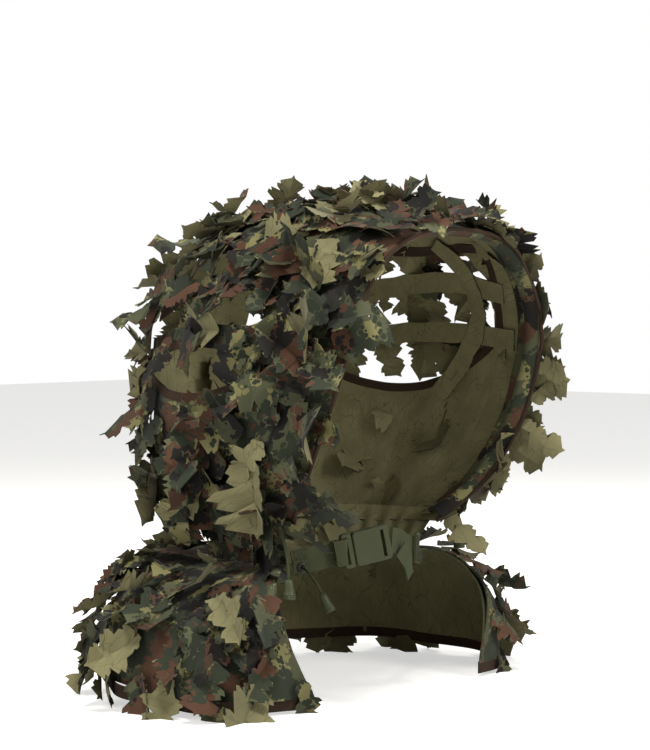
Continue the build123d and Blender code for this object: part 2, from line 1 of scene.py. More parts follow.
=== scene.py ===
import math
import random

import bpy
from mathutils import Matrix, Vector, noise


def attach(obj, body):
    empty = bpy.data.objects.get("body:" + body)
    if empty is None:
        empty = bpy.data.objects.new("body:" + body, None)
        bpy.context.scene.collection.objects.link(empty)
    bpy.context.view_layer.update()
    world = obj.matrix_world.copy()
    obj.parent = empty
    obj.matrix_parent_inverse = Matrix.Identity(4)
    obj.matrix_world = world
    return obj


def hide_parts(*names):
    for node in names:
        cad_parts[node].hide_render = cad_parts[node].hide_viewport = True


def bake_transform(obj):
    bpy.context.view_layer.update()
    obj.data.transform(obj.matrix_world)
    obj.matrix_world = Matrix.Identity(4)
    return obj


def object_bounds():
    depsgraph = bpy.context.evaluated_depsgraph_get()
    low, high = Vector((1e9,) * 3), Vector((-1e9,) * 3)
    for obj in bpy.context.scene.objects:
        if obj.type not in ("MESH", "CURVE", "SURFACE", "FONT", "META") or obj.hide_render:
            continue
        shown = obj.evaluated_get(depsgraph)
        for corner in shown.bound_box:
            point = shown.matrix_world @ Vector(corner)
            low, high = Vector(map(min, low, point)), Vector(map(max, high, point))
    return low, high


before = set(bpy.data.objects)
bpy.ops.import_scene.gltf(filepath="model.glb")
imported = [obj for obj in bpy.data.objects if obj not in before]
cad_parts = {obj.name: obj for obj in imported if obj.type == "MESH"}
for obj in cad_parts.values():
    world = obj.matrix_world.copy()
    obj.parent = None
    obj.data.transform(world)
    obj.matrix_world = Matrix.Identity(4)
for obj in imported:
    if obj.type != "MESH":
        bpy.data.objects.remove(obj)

# %% [markdown]
# # A leaf ghillie hood
# The hood is a deep cloth cowl with two netted side windows, sewn to a short shoulder cape. Every
# panel carries loose leaves cut from the same printed cloth. The frame loaded above is the fixed
# CAD model: it says where each panel, strap and buckle lies, and this script dresses it.

cad_low, cad_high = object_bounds()
print("CAD box", [round(v, 3) for v in cad_low], [round(v, 3) for v in cad_high])

# %% [markdown]
# ## The two body surfaces
# Cloth that follows a head and shoulders is easiest to place on a formula. The hood is a pillow
# shape, a superellipse in its side view that also narrows to the middle like one. The cape is a
# bell that starts at the collar and falls to the hem. The numbers are the design's own.

# %% The hood's surface
HOOD_Y, HOOD_Z = -0.020, 0.165
HALF_WIDTH = 0.165
FRONT, REAR, UP, DOWN = 0.262, 0.178, 0.170, 0.178
PROFILE_POWER, BULGE_POWER = 2.3, 2.6
HOOD_HEM = 0.017
BRIM_FRONT, BRIM_SWEEP, BRIM_TOP, BRIM_CURVE, BRIM_BAND = -0.168, 0.110, 0.312, 2.5, 0.054
BAND_HALF = 0.052
HOOD_MIDDLE = Vector((0, HOOD_Y, HOOD_Z))
HALVINGS = 40


def span(first, last, share):
    return first + (last - first) * share


def compass(degrees):
    """The sine and cosine of an angle in degrees."""
    return math.sin(math.radians(degrees)), math.cos(math.radians(degrees))


def mirrored(p, sign):
    return Vector((p.x * sign, p.y, p.z))


def superellipse(a, b, power):
    return (abs(a) ** power + abs(b) ** power) ** (1 / power)


def side_share(dy, dz):
    return superellipse(dy / (REAR if dy > 0 else FRONT), dz / (UP if dz > 0 else DOWN), PROFILE_POWER)


def hood_side(y, z):
    """A point of the left side, from its place in the side view."""
    share = side_share(y - HOOD_Y, z - HOOD_Z)
    return Vector((HALF_WIDTH * max(0.0, 1 - share**BULGE_POWER) ** (1 / BULGE_POWER), y, z))


def bulge(x):
    """How much of its side view's size the hood has at a distance from the middle."""
    return (1 - (abs(x) / HALF_WIDTH) ** BULGE_POWER) ** (1 / BULGE_POWER)


def hood_band(turn, x):
    """A point near the centre line. turn is 0 at the back, 90 on top and 180 in front."""
    dz, dy = compass(turn)
    reach = bulge(x) / side_share(dy, dz)
    return Vector((x, HOOD_Y + dy * reach, HOOD_Z + dz * reach))


def surface_size(x, y, z):
    """1 on the hood's surface, less inside it and more outside. The place is from its middle."""
    return superellipse(x / HALF_WIDTH, side_share(y, z), BULGE_POWER)


def hood_toward(way):
    """Where the hood's surface lies in a direction from its middle."""
    return HOOD_MIDDLE + way / surface_size(*way)


def solve(value, low, high):
    """Where a function crosses zero, by halving."""
    rising = value(high) > value(low)
    for _ in range(HALVINGS):
        middle = (low + high) / 2
        if (value(middle) > 0) == rising:
            high = middle
        else:
            low = middle
    return (low + high) / 2


def brim_y(z):
    """How far forward the face opening's rim is at a height. It sweeps back towards the throat."""
    return BRIM_FRONT + BRIM_SWEEP * (max(0.0, BRIM_TOP - z) / (BRIM_TOP - HOOD_HEM)) ** BRIM_CURVE


def brim_point(bearing, inset):
    """A point of the face opening's rim. bearing 0 is the top, and inset is how far back it is."""
    sx, sz = compass(bearing)

    def outside(radius):
        z = HOOD_Z + radius * sz
        share = side_share(brim_y(z) + inset - HOOD_Y, z - HOOD_Z)
        return superellipse(radius * sx / HALF_WIDTH, share, BULGE_POWER) - 1

    radius = solve(outside, 0.020, 0.260)
    z = HOOD_Z + radius * sz
    return Vector((radius * sx, brim_y(z) + inset, z))


def side_rear_y(z, x=BAND_HALF):
    """How far back the side panel reaches."""
    dz = (z - HOOD_Z) / (UP if z > HOOD_Z else DOWN)
    room = bulge(x) ** PROFILE_POWER - abs(dz) ** PROFILE_POWER
    return HOOD_Y + REAR * max(0.0, room) ** (1 / PROFILE_POWER)


WINDOW_LOW, WINDOW_CORNER, WINDOW_SAG = 0.150, 0.206, 2.2


def window_sill(along):
    """The height of the window's lower edge, which sags between its corners."""
    return WINDOW_LOW + (WINDOW_CORNER - WINDOW_LOW) * abs(2 * along - 1) ** WINDOW_SAG


def cheek_point(along, up):
    z = HOOD_HEM + (window_sill(along) - HOOD_HEM) * up
    front = brim_y(z) + BRIM_BAND
    return hood_side(front + (side_rear_y(z) - front) * along, z)


BRIM_END = solve(lambda b: brim_point(b, BRIM_BAND / 2).z - HOOD_HEM, 100.0, 160.0)
CROWN_START, CROWN_REAR = BRIM_FRONT + BRIM_BAND, 45.0
WINDOW_HEAD, WINDOW_END = 0.298, 0.094  # how high the windows reach, and how far back
NAPE = solve(lambda t: hood_band(t, 0).z - HOOD_HEM, -80.0, -20.0)
print("the brim ends at bearing", round(BRIM_END), "and the nape at turn", round(NAPE))


def crown_height(x, y):
    """How high the surface lies over a place of its plan."""
    long = abs(y - HOOD_Y) / (REAR if y > HOOD_Y else FRONT)
    room = bulge(x) ** PROFILE_POWER - long**PROFILE_POWER
    return HOOD_Z + UP * max(0.0, room) ** (1 / PROFILE_POWER)


def crown_half(y):
    """Half the crown's width: out to the windows' heads."""
    if crown_height(BAND_HALF, y) < WINDOW_HEAD:
        return BAND_HALF
    return solve(lambda x: crown_height(x, y) - WINDOW_HEAD, BAND_HALF, 0.160)


def crown_point(along, across):
    """A point of the crown. along is 0 in front to 1 behind, and across is -1 to 1."""
    x = across * crown_half(CROWN_START + (hood_band(CROWN_REAR, 0).y - CROWN_START) * along)
    y = CROWN_START + (hood_band(CROWN_REAR, x).y - CROWN_START) * along
    return Vector((x, y, crown_height(x, y)))


# %% The cape's surface
COLLAR_Z, CAPE_DROP, CAPE_LEAN = -0.009, 0.112, 0.12
COLLAR = (0.104, 0.092, 0.092)
HEM = (0.238, 0.166, 0.112)
EDGE_TOP, EDGE_LOW = 113.0, 127.0
SHOULDER_FROM, SHOULDER_TO = 47.0, 103.0
RING_POWER = 2.5


def ring(sx, sy, ring_sizes):
    """How far out a ring of (half width, rear, front) lies in a direction."""
    half, rear, front = ring_sizes
    return 1 / superellipse(sx / half, sy / (rear if sy > 0 else front), RING_POWER)


def cape(bearing, down):
    """A point of the cape. bearing is from the back, + to the left, and down is 0 to 1."""
    sx, sy = compass(bearing)
    angle, boxy = down * math.pi / 2, 1 / (1.3 + 0.3 * sy)
    inner = ring(sx, sy, COLLAR)
    radius = inner + (ring(sx, sy, HEM) - inner) * math.sin(angle) ** boxy
    z = COLLAR_Z - CAPE_DROP * (1 - max(0.0, math.cos(angle)) ** boxy)
    return Vector((radius * sx, radius * sy, z + CAPE_LEAN * (radius - inner) * sy))


def front_edge(down):
    return EDGE_TOP + (EDGE_LOW - EDGE_TOP) * down**2


# %% [markdown]
# ## Camera, light and floor
# The hood is seen from the wearer's right, a little in front, through a long lens. Big soft lamps
# stand in for a studio tent, and the floor is pale.

# %% Camera
CAMERA_TURN, CAMERA_RISE, CAMERA_FAR = math.radians(-50), math.radians(2.0), 2.4
AIM = Vector((0.002, -0.002, 0.170))
PICTURE_TALL = 0.750
camera_data = bpy.data.cameras.new("camera")
camera_data.sensor_width = 36.0
camera_data.lens = camera_data.sensor_width * CAMERA_FAR / PICTURE_TALL
camera = bpy.data.objects.new("camera", camera_data)
bpy.context.collection.objects.link(camera)
toward_camera = Vector(
    (
        math.sin(CAMERA_TURN) * math.cos(CAMERA_RISE),
        -math.cos(CAMERA_TURN) * math.cos(CAMERA_RISE),
        math.sin(CAMERA_RISE),
    )
)
camera.location = AIM + toward_camera * CAMERA_FAR
camera.rotation_euler = (-toward_camera).to_track_quat("-Z", "Y").to_euler()
bpy.context.scene.camera = camera
print("lens", round(camera_data.lens, 1), "mm")

# %% Lights and world
LAMP_COLOUR, LAMPS_AIM = (1.0, 0.965, 0.91), Vector((0, 0, 0.12))
ROOM_LIGHT, BACKDROP_LIGHT = 0.31, 1.0


def lamp(name, place, size, power):
    light = bpy.data.lights.new(name, "AREA")
    light.shape, light.size, light.energy = "DISK", size, power
    light.color = LAMP_COLOUR
    holder = bpy.data.objects.new(name, light)
    bpy.context.collection.objects.link(holder)
    holder.location = place
    holder.rotation_euler = (LAMPS_AIM - Vector(place)).to_track_quat("-Z", "Y").to_euler()


lamp("key_lamp", (-0.9, -0.7, 2.2), 0.6, 46)
lamp("side_lamp", (-2.0, 0.4, 1.1), 1.0, 16)
lamp("rear_lamp", (1.5, 0.9, 1.6), 1.0, 20)
lamp("front_lamp", (0.2, -1.9, 0.9), 0.8, 20)
world = bpy.data.worlds.new("studio")
world.use_nodes = True
air = world.node_tree
room_light = air.nodes["Background"]
room_light.inputs["Color"].default_value = (1.0, 0.99, 0.96, 1)
room_light.inputs["Strength"].default_value = ROOM_LIGHT
backdrop = air.nodes.new("ShaderNodeBackground")
backdrop.inputs["Color"].default_value = (1, 1, 1, 1)
backdrop.inputs["Strength"].default_value = BACKDROP_LIGHT
seen_or_lit = air.nodes.new("ShaderNodeMixShader")
air.links.new(air.nodes.new("ShaderNodeLightPath").outputs["Is Camera Ray"], seen_or_lit.inputs[0])
air.links.new(room_light.outputs[0], seen_or_lit.inputs[1])
air.links.new(backdrop.outputs[0], seen_or_lit.inputs[2])
air.links.new(seen_or_lit.outputs[0], air.nodes["World Output"].inputs[0])
bpy.context.scene.world = world
bpy.context.scene.view_settings.view_transform = "Standard"

# %% Floor
bpy.ops.object.select_all(action="DESELECT")
FLOOR_SIZE, FLOOR_GAP = 12.0, 0.004
FLOOR_GLOW = 0.55  # lifts the floor to the backdrop's white
bpy.ops.mesh.primitive_plane_add(size=FLOOR_SIZE, location=(0, 0, cad_low.z - FLOOR_GAP))
floor = bpy.context.object
floor.name = "floor"

# %% [markdown]
# ## Finishes
# Everything here is cloth, webbing or moulded plastic. A finish that several materials share is a
# node group: the woven threads, the spotted leaf print, the dry-grass print on the cloth's back.
# A group only puts out colours and masks, and each material keeps its own shader.

# %% Small helpers for node trees


def colour(code):
    """A linear colour from a six-figure web code."""
    parts = [int(code[i : i + 2], 16) / 255 for i in (0, 2, 4)]
    return (*[p / 12.92 if p <= 0.04045 else ((p + 0.055) / 1.055) ** 2.4 for p in parts], 1.0)


def add(tree, kind, values=(), **settings):
    """Adds a node, sets its settings, and sets its inputs by name or number."""
    node = tree.nodes.new(kind)
    for key, value in settings.items():
        setattr(node, key, value)
    for key, value in dict(values).items():
        socket = node.inputs[key]
        if isinstance(value, bpy.types.NodeSocket):
            tree.links.new(value, socket)
        else:
            socket.default_value = value
    return node


def calc(tree, operation, a, b=0.0, c=0.0, clamp=False):
    return add(tree, "ShaderNodeMath", {0: a, 1: b, 2: c}, operation=operation, use_clamp=clamp).outputs[0]


def vector_math(tree, operation, values):
    return add(tree, "ShaderNodeVectorMath", values, operation=operation).outputs[0]


def grain(tree, place, scale, detail, output=0):
    """Noise read at a place: output 0 is its height and 1 its colour."""
    return add(tree, "ShaderNodeTexNoise", {"Vector": place, "Scale": scale, "Detail": detail}).outputs[output]


def blend_colour(tree, share, a, b):
    return add(tree, "ShaderNodeMix", {0: share, 6: a, 7: b}, data_type="RGBA").outputs[2]


def new_group(name, inputs, outputs):
    """A shader node group with named sockets. Each is (name, type, default)."""
    tree = bpy.data.node_groups.new(name, "ShaderNodeTree")
    for way, sockets in (("INPUT", inputs), ("OUTPUT", outputs)):
        for label, kind, default in sockets:
            socket = tree.interface.new_socket(label, in_out=way, socket_type=f"NodeSocket{kind}")
            if default is not None:
                socket.default_value = default
    return tree, tree.nodes.new("NodeGroupInput").outputs, tree.nodes.new("NodeGroupOutput").inputs


# %% The threads of a plain weave
weave_group, given, result = new_group(
    "threads", [("Vector", "Vector", None), ("Thread", "Float", 0.0009)], [("Height", "Float", None)]
)
parted = add(weave_group, "ShaderNodeSeparateXYZ", {0: given["Vector"]}).outputs
turns = calc(weave_group, "DIVIDE", math.pi, given["Thread"])
warp = calc(weave_group, "SINE", calc(weave_group, "MULTIPLY", parted[0], turns))
weft = calc(weave_group, "SINE", calc(weave_group, "MULTIPLY", parted[1], turns))
crossed = calc(weave_group, "MULTIPLY", warp, weft)
weave_group.links.new(calc(weave_group, "MULTIPLY_ADD", crossed, 0.5, 0.5), result[0])

# %% [markdown]
# The spotted print is made the way it was first drawn: round dabs of a brush, which run together
# where a patch is dense and stand alone at its rim. Voronoi cells give the dabs, and slow noise
# read at each cell's centre says how large that dab is in each of the four upper colours.

# %% The spotted leaf print
DABS = (
    # colour, where its noise is cut, and how far its noise is moved
    ("77734d", 0.535, (3.1, 7.7, 0)),
    ("2c3226", 0.485, (11.3, 1.9, 0)),
    ("4f3628", 0.552, (5.9, 17.2, 0)),
    ("1d1b19", 0.565, (23.7, 13.1, 0)),
)
print_group, given, result = new_group(
    "spotted leaf print",
    [("Vector", "Vector", None), ("Dab", "Float", 185.0), ("Patch", "Float", 21.0)],
    [("Color", "Color", None)],
)
ink = add(print_group, "ShaderNodeRGB").outputs[0]
ink.default_value = colour("4b4e39")
for code, cut, moved in DABS:
    place = vector_math(print_group, "ADD", {0: given["Vector"], 1: moved})
    cells = add(
        print_group, "ShaderNodeTexVoronoi", {"Vector": place, "Scale": given["Dab"]}, voronoi_dimensions="2D"
    ).outputs
    patches = add(
        print_group,
        "ShaderNodeTexNoise",
        {"Vector": cells["Position"], "Scale": given["Patch"], "Detail": 2.0, "Roughness": 0.55},
        noise_dimensions="2D",
    ).outputs[0]
    radius = calc(print_group, "MULTIPLY_ADD", calc(print_group, "SUBTRACT", patches, cut), 11.0, 0.3)
    mask = calc(
        print_group, "MULTIPLY", calc(print_group, "SUBTRACT", radius, cells["Distance"]), 14.0, clamp=True
    )
    ink = blend_colour(print_group, mask, ink, colour(code))
print_group.links.new(ink, result[0])

# %% [markdown]
# The cloth's back isn't printed with dabs. It is khaki with thin dark strokes like dry grass and
# cracked mud: the rims of stretched, wobbling cells.

# %% The dry-grass print
grass_group, given, result = new_group(
    "dry grass print", [("Vector", "Vector", None), ("Size", "Float", 95.0)], [("Color", "Color", None)]
)
wobble = grain(grass_group, given["Vector"], 60.0, 3.0, output=1)
wobbled = vector_math(grass_group, "MULTIPLY_ADD", {0: wobble, 1: (0.014, 0.014, 0), 2: given["Vector"]})
strokes = 0.0
for turn, stretch, thin in ((0.5, (1.0, 0.28, 1), 0.034), (-0.7, (1.0, 0.35, 1), 0.026)):
    laid = add(
        grass_group, "ShaderNodeMapping", {"Vector": wobbled, "Rotation": (0, 0, turn), "Scale": stretch}
    ).outputs[0]
    rim = add(
        grass_group,
        "ShaderNodeTexVoronoi",
        {"Vector": laid, "Scale": given["Size"]},
        voronoi_dimensions="2D",
        feature="DISTANCE_TO_EDGE",
    ).outputs["Distance"]
    line = calc(grass_group, "MULTIPLY", calc(grass_group, "SUBTRACT", thin, rim), 22.0, clamp=True)
    strokes = calc(grass_group, "MAXIMUM", strokes, line)
fade = grain(grass_group, given["Vector"], 28.0, 2.0)
drawn = calc(grass_group, "MULTIPLY_ADD", fade, 2.6, -0.75, clamp=True)
stroke_share = calc(grass_group, "MULTIPLY", strokes, drawn)
ground = blend_colour(grass_group, fade, colour("646045"), colour("8b8763"))
grass_group.links.new(blend_colour(grass_group, stroke_share, ground, colour("2b281a")), result[0])

# %% Wear: paler where a surface is rubbed, darker where dust and sweat sit
wear_group, given, result = new_group(
    "wear",
    [("Vector", "Vector", None), ("Color", "Color", None), ("Amount", "Float", 0.3)],
    [("Color", "Color", None)],
)
slow = grain(wear_group, given["Vector"], 24.0, 4.0)
fine = grain(wear_group, given["Vector"], 900.0, 2.0)
shade = calc(wear_group, "MULTIPLY_ADD", slow, 0.9, calc(wear_group, "MULTIPLY", fine, 0.35))
swing = calc(wear_group, "MULTIPLY", calc(wear_group, "SUBTRACT", shade, 0.62), given["Amount"])
level = calc(wear_group, "MULTIPLY_ADD", swing, 2.4, 1.0)
wear_group.links.new(vector_math(wear_group, "SCALE", {0: given["Color"], "Scale": level}), result[0])

# %% Making a material


def material(name, roughness, sheen=0.0):
    made = bpy.data.materials.new(name)
    made.use_nodes = True
    tree = made.node_tree
    shader = tree.nodes["Principled BSDF"]
    shader.inputs["Roughness"].default_value = roughness
    shader.inputs["Specular IOR Level"].default_value = 0.25
    shader.inputs["Sheen Weight"].default_value = sheen
    return made, tree, shader


def group_node(tree, group, **values):
    return add(tree, "ShaderNodeGroup", values, node_tree=group).outputs[0]


def bump(tree, shader, height, distance, strength=1.0):
    made = add(tree, "ShaderNodeBump", {"Height": height, "Distance": distance, "Strength": strength})
    tree.links.new(made.outputs[0], shader.inputs["Normal"])


def cloth_material(name, front, tone=False):
    """Printed cloth. front says which of the two prints shows."""
    made, tree, shader = material(name, 0.88, sheen=0.05)
    flat = add(tree, "ShaderNodeUVMap", uv_map="cloth").outputs[0]
    ink = group_node(tree, print_group if front else grass_group, Vector=flat)
    ink = group_node(tree, wear_group, Vector=flat, Color=ink, Amount=0.32)
    if tone:
        level = add(tree, "ShaderNodeAttribute", attribute_name="tone").outputs["Fac"]
        ink = vector_math(tree, "SCALE", {0: ink, "Scale": level})
    tree.links.new(ink, shader.inputs["Base Color"])
    threads = group_node(tree, weave_group, Vector=flat, Thread=0.0008)
    bump(tree, shader, threads, 0.00012, 0.6)
    return made


camo_cloth = cloth_material("camo_cloth", True)
khaki_cloth = cloth_material("khaki_cloth", False)
camo_leaf = cloth_material("camo_leaf", True, tone=True)
khaki_leaf = cloth_material("khaki_leaf", False, tone=True)


def plain_material(name, code, roughness, thread, depth, wear, sheen=0.0, uv=True):
    """A material of one dye or plastic, with its own grain."""
    made, tree, shader = material(name, roughness, sheen)
    if uv:
        place = add(tree, "ShaderNodeUVMap", uv_map="cloth").outputs[0]
        height = group_node(tree, weave_group, Vector=place, Thread=thread)
    else:
        place = add(tree, "ShaderNodeTexCoord").outputs["Object"]
        height = grain(tree, place, 1 / thread, 3.0)
    dye = add(tree, "ShaderNodeRGB").outputs[0]
    dye.default_value = colour(code)
    # painted shade: the dye is mixed towards a copy at 0.45 of itself by half the grain's height, the height
    # that also drives the bump; the wear group then adds real wear on top
    shadow = (*[v * 0.45 for v in dye.default_value[:3]], 1)
    shaded = blend_colour(tree, calc(tree, "MULTIPLY_ADD", height, 0.5, 0.0), dye, shadow)
    shaded_and_worn = group_node(tree, wear_group, Vector=place, Color=shaded, Amount=wear)
    tree.links.new(shaded_and_worn, shader.inputs["Base Color"])
    bump(tree, shader, height, depth)
    return made


binding_tape = plain_material("binding_tape", "3a2c22", 0.9, 0.0011, 0.0002, 0.35)
olive_webbing = plain_material("olive_webbing", "484d35", 0.8, 0.0014, 0.00035, 0.3)
olive_plastic = plain_material("olive_plastic", "484e36", 0.42, 0.0006, 0.00003, 0.22, uv=False)
cord_braid = plain_material("cord_braid", "3f4430", 0.75, 0.0009, 0.0003, 0.3, uv=False)
eyelet_metal = plain_material("eyelet_metal", "3b3a33", 0.4, 0.0012, 0.00003, 0.3, uv=False)
stitch_thread = plain_material("stitch_thread", "3c4130", 0.85, 0.0006, 0.0001, 0.2, uv=False)
pale_floor = plain_material("pale_floor", "f2f2f0", 0.7, 0.02, 0.00005, 0.02, uv=False)
floor_tree = pale_floor.node_tree
floor_shader = floor_tree.nodes["Principled BSDF"]
floor_shader.inputs["Emission Color"].default_value = (1, 1, 1, 1)
seen = floor_tree.nodes.new("ShaderNodeLightPath").outputs["Is Camera Ray"]
floor_tree.links.new(calc(floor_tree, "MULTIPLY", seen, FLOOR_GLOW), floor_shader.inputs["Emission Strength"])
floor.data.materials.append(pale_floor)
print(len(bpy.data.materials), "materials")

# %% [markdown]
# ## Cloth panels
# A sewn panel is one sheet that follows the body surface and sags between its seams. Each one is a
# grid of points on the formulas above. Slow noise moves the points in and out, and because the
# noise is read at the place itself, two panels that share a seam fold together. Solidify gives
# the sheet its thickness, and puts the khaki print on its inner side.

# %% The sheet maker
CLOTH = 0.0013


BROAD_FOLDS, SMALL_FOLDS = (17, 0.0052), (52, 0.0014)  # folds to a metre, and how deep


def folds(place, depth=1.0):
    """How far the cloth stands in or out at a place."""
    broad = noise.noise(place * BROAD_FOLDS[0]) * BROAD_FOLDS[1]
    small = noise.noise(place * SMALL_FOLDS[0] + Vector((7, 3, 1))) * SMALL_FOLDS[1]
    return (broad + small) * depth


def finish_mesh(name, vertices, faces, flat, skins, tones=None):
    """Makes an object from points and faces, with its flat pattern as the UV map called cloth."""
    mesh = bpy.data.meshes.new(name)
    mesh.from_pydata(vertices, [], faces)
    pattern = mesh.uv_layers.new(name="cloth")
    for loop in mesh.loops:
        pattern.data[loop.index].uv = flat[loop.vertex_index]
    if tones:
        level = mesh.attributes.new("tone", "FLOAT", "POINT")
        level.data.foreach_set("value", tones)
    for skin in skins:
        mesh.materials.append(skin)
    piece = bpy.data.objects.new(name, mesh)
    bpy.context.collection.objects.link(piece)
    return piece


def select_only(piece):
    bpy.ops.object.select_all(action="DESELECT")
    bpy.context.view_layer.objects.active = piece
    piece.select_set(True)


def apply_modifiers(piece):
    select_only(piece)
    for modifier in list(piece.modifiers):
        bpy.ops.object.modifier_apply(modifier=modifier.name)


def thicken(piece, thickness, offset=-1.0):
    wall = piece.modifiers.new("wall", "SOLIDIFY")
    wall.thickness, wall.offset = thickness, offset
    wall.material_offset = len(piece.data.materials) - 1
    apply_modifiers(piece)
    bpy.ops.object.shade_smooth_by_angle(angle=math.radians(45))


def sheet(
    name, body, node, place, columns, rows, skins, centre, side=1, depth=1.0, thickness=CLOTH
):
    """A panel. place(u, v) gives a point for u and v from 0 to 1. It stands for a CAD node."""
    grid = [[place(i / columns, j / rows) for j in range(rows + 1)] for i in range(columns + 1)]
    if side < 0:
        grid = [[mirrored(p, -1) for p in line] for line in grid]
    lengths_u = [0.0]
    for before, after in zip(grid, grid[1:]):
        lengths_u.append(lengths_u[-1] + max((b - a).length for a, b in zip(before, after)))
    lengths_v = [0.0]
    for j in range(rows):
        lengths_v.append(lengths_v[-1] + max((line[j + 1] - line[j]).length for line in grid))
    middle = grid[columns // 2][rows // 2]
    along = grid[columns // 2 + 1][rows // 2] - middle
    across = grid[columns // 2][rows // 2 + 1] - middle
    outward = 1 if along.cross(across).dot(middle - centre) > 0 else -1
    vertices, flat = [], []
    for i in range(columns + 1):
        for j in range(rows + 1):
            p = grid[i][j]
            along = grid[min(i + 1, columns)][j] - grid[max(i - 1, 0)][j]
            across = grid[i][min(j + 1, rows)] - grid[i][max(j - 1, 0)]
            normal = along.cross(across).normalized() * outward
            vertices.append(p + normal * folds(p, depth))
            flat.append((lengths_u[i], lengths_v[j]))
    faces = []
    for i in range(columns):
        for j in range(rows):
            a = i * (rows + 1) + j
            corners = (a, a + rows + 1, a + rows + 2, a + 1)
            faces.append(corners if outward > 0 else corners[::-1])
    piece = finish_mesh(name, vertices, faces, flat, skins)
    thicken(piece, thickness)
    if body:
        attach(piece, body)
    if node:
        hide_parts(node)
    return piece


CLOTH_SKINS = (camo_cloth, khaki_cloth)
SIDES = (("left", 1), ("right", -1))


# %% The hood's panels
sheet(
    "crown_cloth", "hood", "crown_panel",
    lambda u, v: crown_point(u, 2 * v - 1),
    48, 56, CLOTH_SKINS, HOOD_MIDDLE,
)
sheet(
    "rear_cloth", "hood", "rear_panel",
    lambda u, v: hood_band(span(CROWN_REAR, NAPE, u), span(-BAND_HALF, BAND_HALF, v)),
    56, 20, CLOTH_SKINS, HOOD_MIDDLE,
)
for side, sign in SIDES:
    sheet(
        f"cheek_cloth_{side}", "hood", f"cheek_panel_{side}", cheek_point,
        52, 36, CLOTH_SKINS, HOOD_MIDDLE, sign, 1.5,
    )
sheet(
    "brim_cloth", "hood", "brim_band",
    lambda u, v: brim_point(span(-BRIM_END, BRIM_END, u), span(0, BRIM_BAND, v)),
    120, 14, CLOTH_SKINS, HOOD_MIDDLE,
)

# %% [markdown]
# Inside the brim a facing of the printed cloth is turned back, so the spots show on the inner
# edge. Its front edge meets the brim's edge, and the drawcord runs between the two.

# %% The facing
FACING, FACING_DEEP, FACING_FLAT = 0.026, 0.0085, 0.0028
TUNNEL_SHARE = 0.5  # the drawcord's tunnel takes this much of the facing's width
FACING_DEPTH = 0.8  # its folds, compared with the other cloth's


def facing_point(u, v):
    p = brim_point(span(2 - BRIM_END, BRIM_END - 2, u), span(0.0005, FACING, v))
    round_part = math.sin(math.pi * min(1.0, v / TUNNEL_SHARE)) ** 0.5 if v < TUNNEL_SHARE else 0.0
    deep = FACING_FLAT * min(1.0, 8 * v) + (FACING_DEEP - FACING_FLAT) * round_part
    return HOOD_MIDDLE + (p - HOOD_MIDDLE) * (1 - (deep + 0.0012) / (p - HOOD_MIDDLE).length)


sheet(
    "facing_cloth", "hood", "brim_facing", facing_point,
    120, 14, (camo_cloth, camo_cloth), HOOD_MIDDLE, depth=FACING_DEPTH,
)

# %% [markdown]
# ## The cape
# The cape hangs from the collar in long soft folds that grow towards its hem.


# %% Cape panels
FOLD_COUNT, FOLD_DEEP = 13, 0.0045


def hanging_folds(bearing, down):
    """Cape cloth: the surface, pushed in and out in folds that widen downwards."""
    p = cape(bearing, down)
    wave = math.sin(math.radians(bearing) * FOLD_COUNT + 1.7 * noise.noise(p * 6)) * FOLD_DEEP * down**1.5
    return p + Vector((p.x, p.y, 0)).normalized() * wave


CAPE_MIDDLE = Vector((0, 0, COLLAR_Z - CAPE_DROP))
CAPE_START = 0.02
sheet(
    "yoke_cloth", "cape", "back_yoke",
    lambda u, v: hanging_folds(span(-SHOULDER_FROM, SHOULDER_FROM, u), span(CAPE_START, 1, v)),
    60, 26, CLOTH_SKINS, CAPE_MIDDLE,
)
for side, sign in SIDES:
    sheet(
        f"shoulder_cloth_{side}", "cape", f"shoulder_panel_{side}",
        lambda u, v: hanging_folds(span(SHOULDER_FROM, SHOULDER_TO, u), span(CAPE_START, 1, v)),
        44, 26, CLOTH_SKINS, CAPE_MIDDLE, sign,
    )
    sheet(
        f"front_cloth_{side}", "cape", f"front_panel_{side}",
        lambda u, v: hanging_folds(
            span(SHOULDER_TO, front_edge(span(CAPE_START, 1, v)), u), span(CAPE_START, 1, v)
        ),
        20, 26, CLOTH_SKINS, CAPE_MIDDLE, sign,
    )

# %% Hem tape and the webbing inside each front edge
HEM_TAPE = 0.010
sheet(
    "hem_binding", "cape", "hem_tape",
    lambda u, v: (
        hanging_folds(span(-EDGE_LOW, EDGE_LOW, u), 1) * 1.004 - Vector((0, 0, span(-0.002, HEM_TAPE, v)))
    ),
    150, 3, (binding_tape, binding_tape), CAPE_MIDDLE, depth=0.3,
)
for side, sign in SIDES:
    sheet(
        f"edge_webbing_{side}", "cape", f"front_webbing_{side}",
        lambda u, v: cape(
            front_edge(span(0.06, 0.98, v)) - span(13, 0.5, u) * (1 - 0.25 * v), span(0.06, 0.98, v)
        ) * 0.985,
        8, 24, (olive_webbing, olive_webbing), CAPE_MIDDLE, sign, 0.3, 0.0016,
    )

# %% [markdown]
# The hood is sewn to the cape along a short stand-up collar. When the hood is pushed back this is
# the cloth that bends. It is one ring from the cape's collar up to the hood's surface, on neither body.

# %% The collar cloth
COLLAR_END, COLLAR_LOW, COLLAR_HIGH = 113.0, -0.010, 0.030
GATHERS, GATHER_DEEP = 46, 0.0016


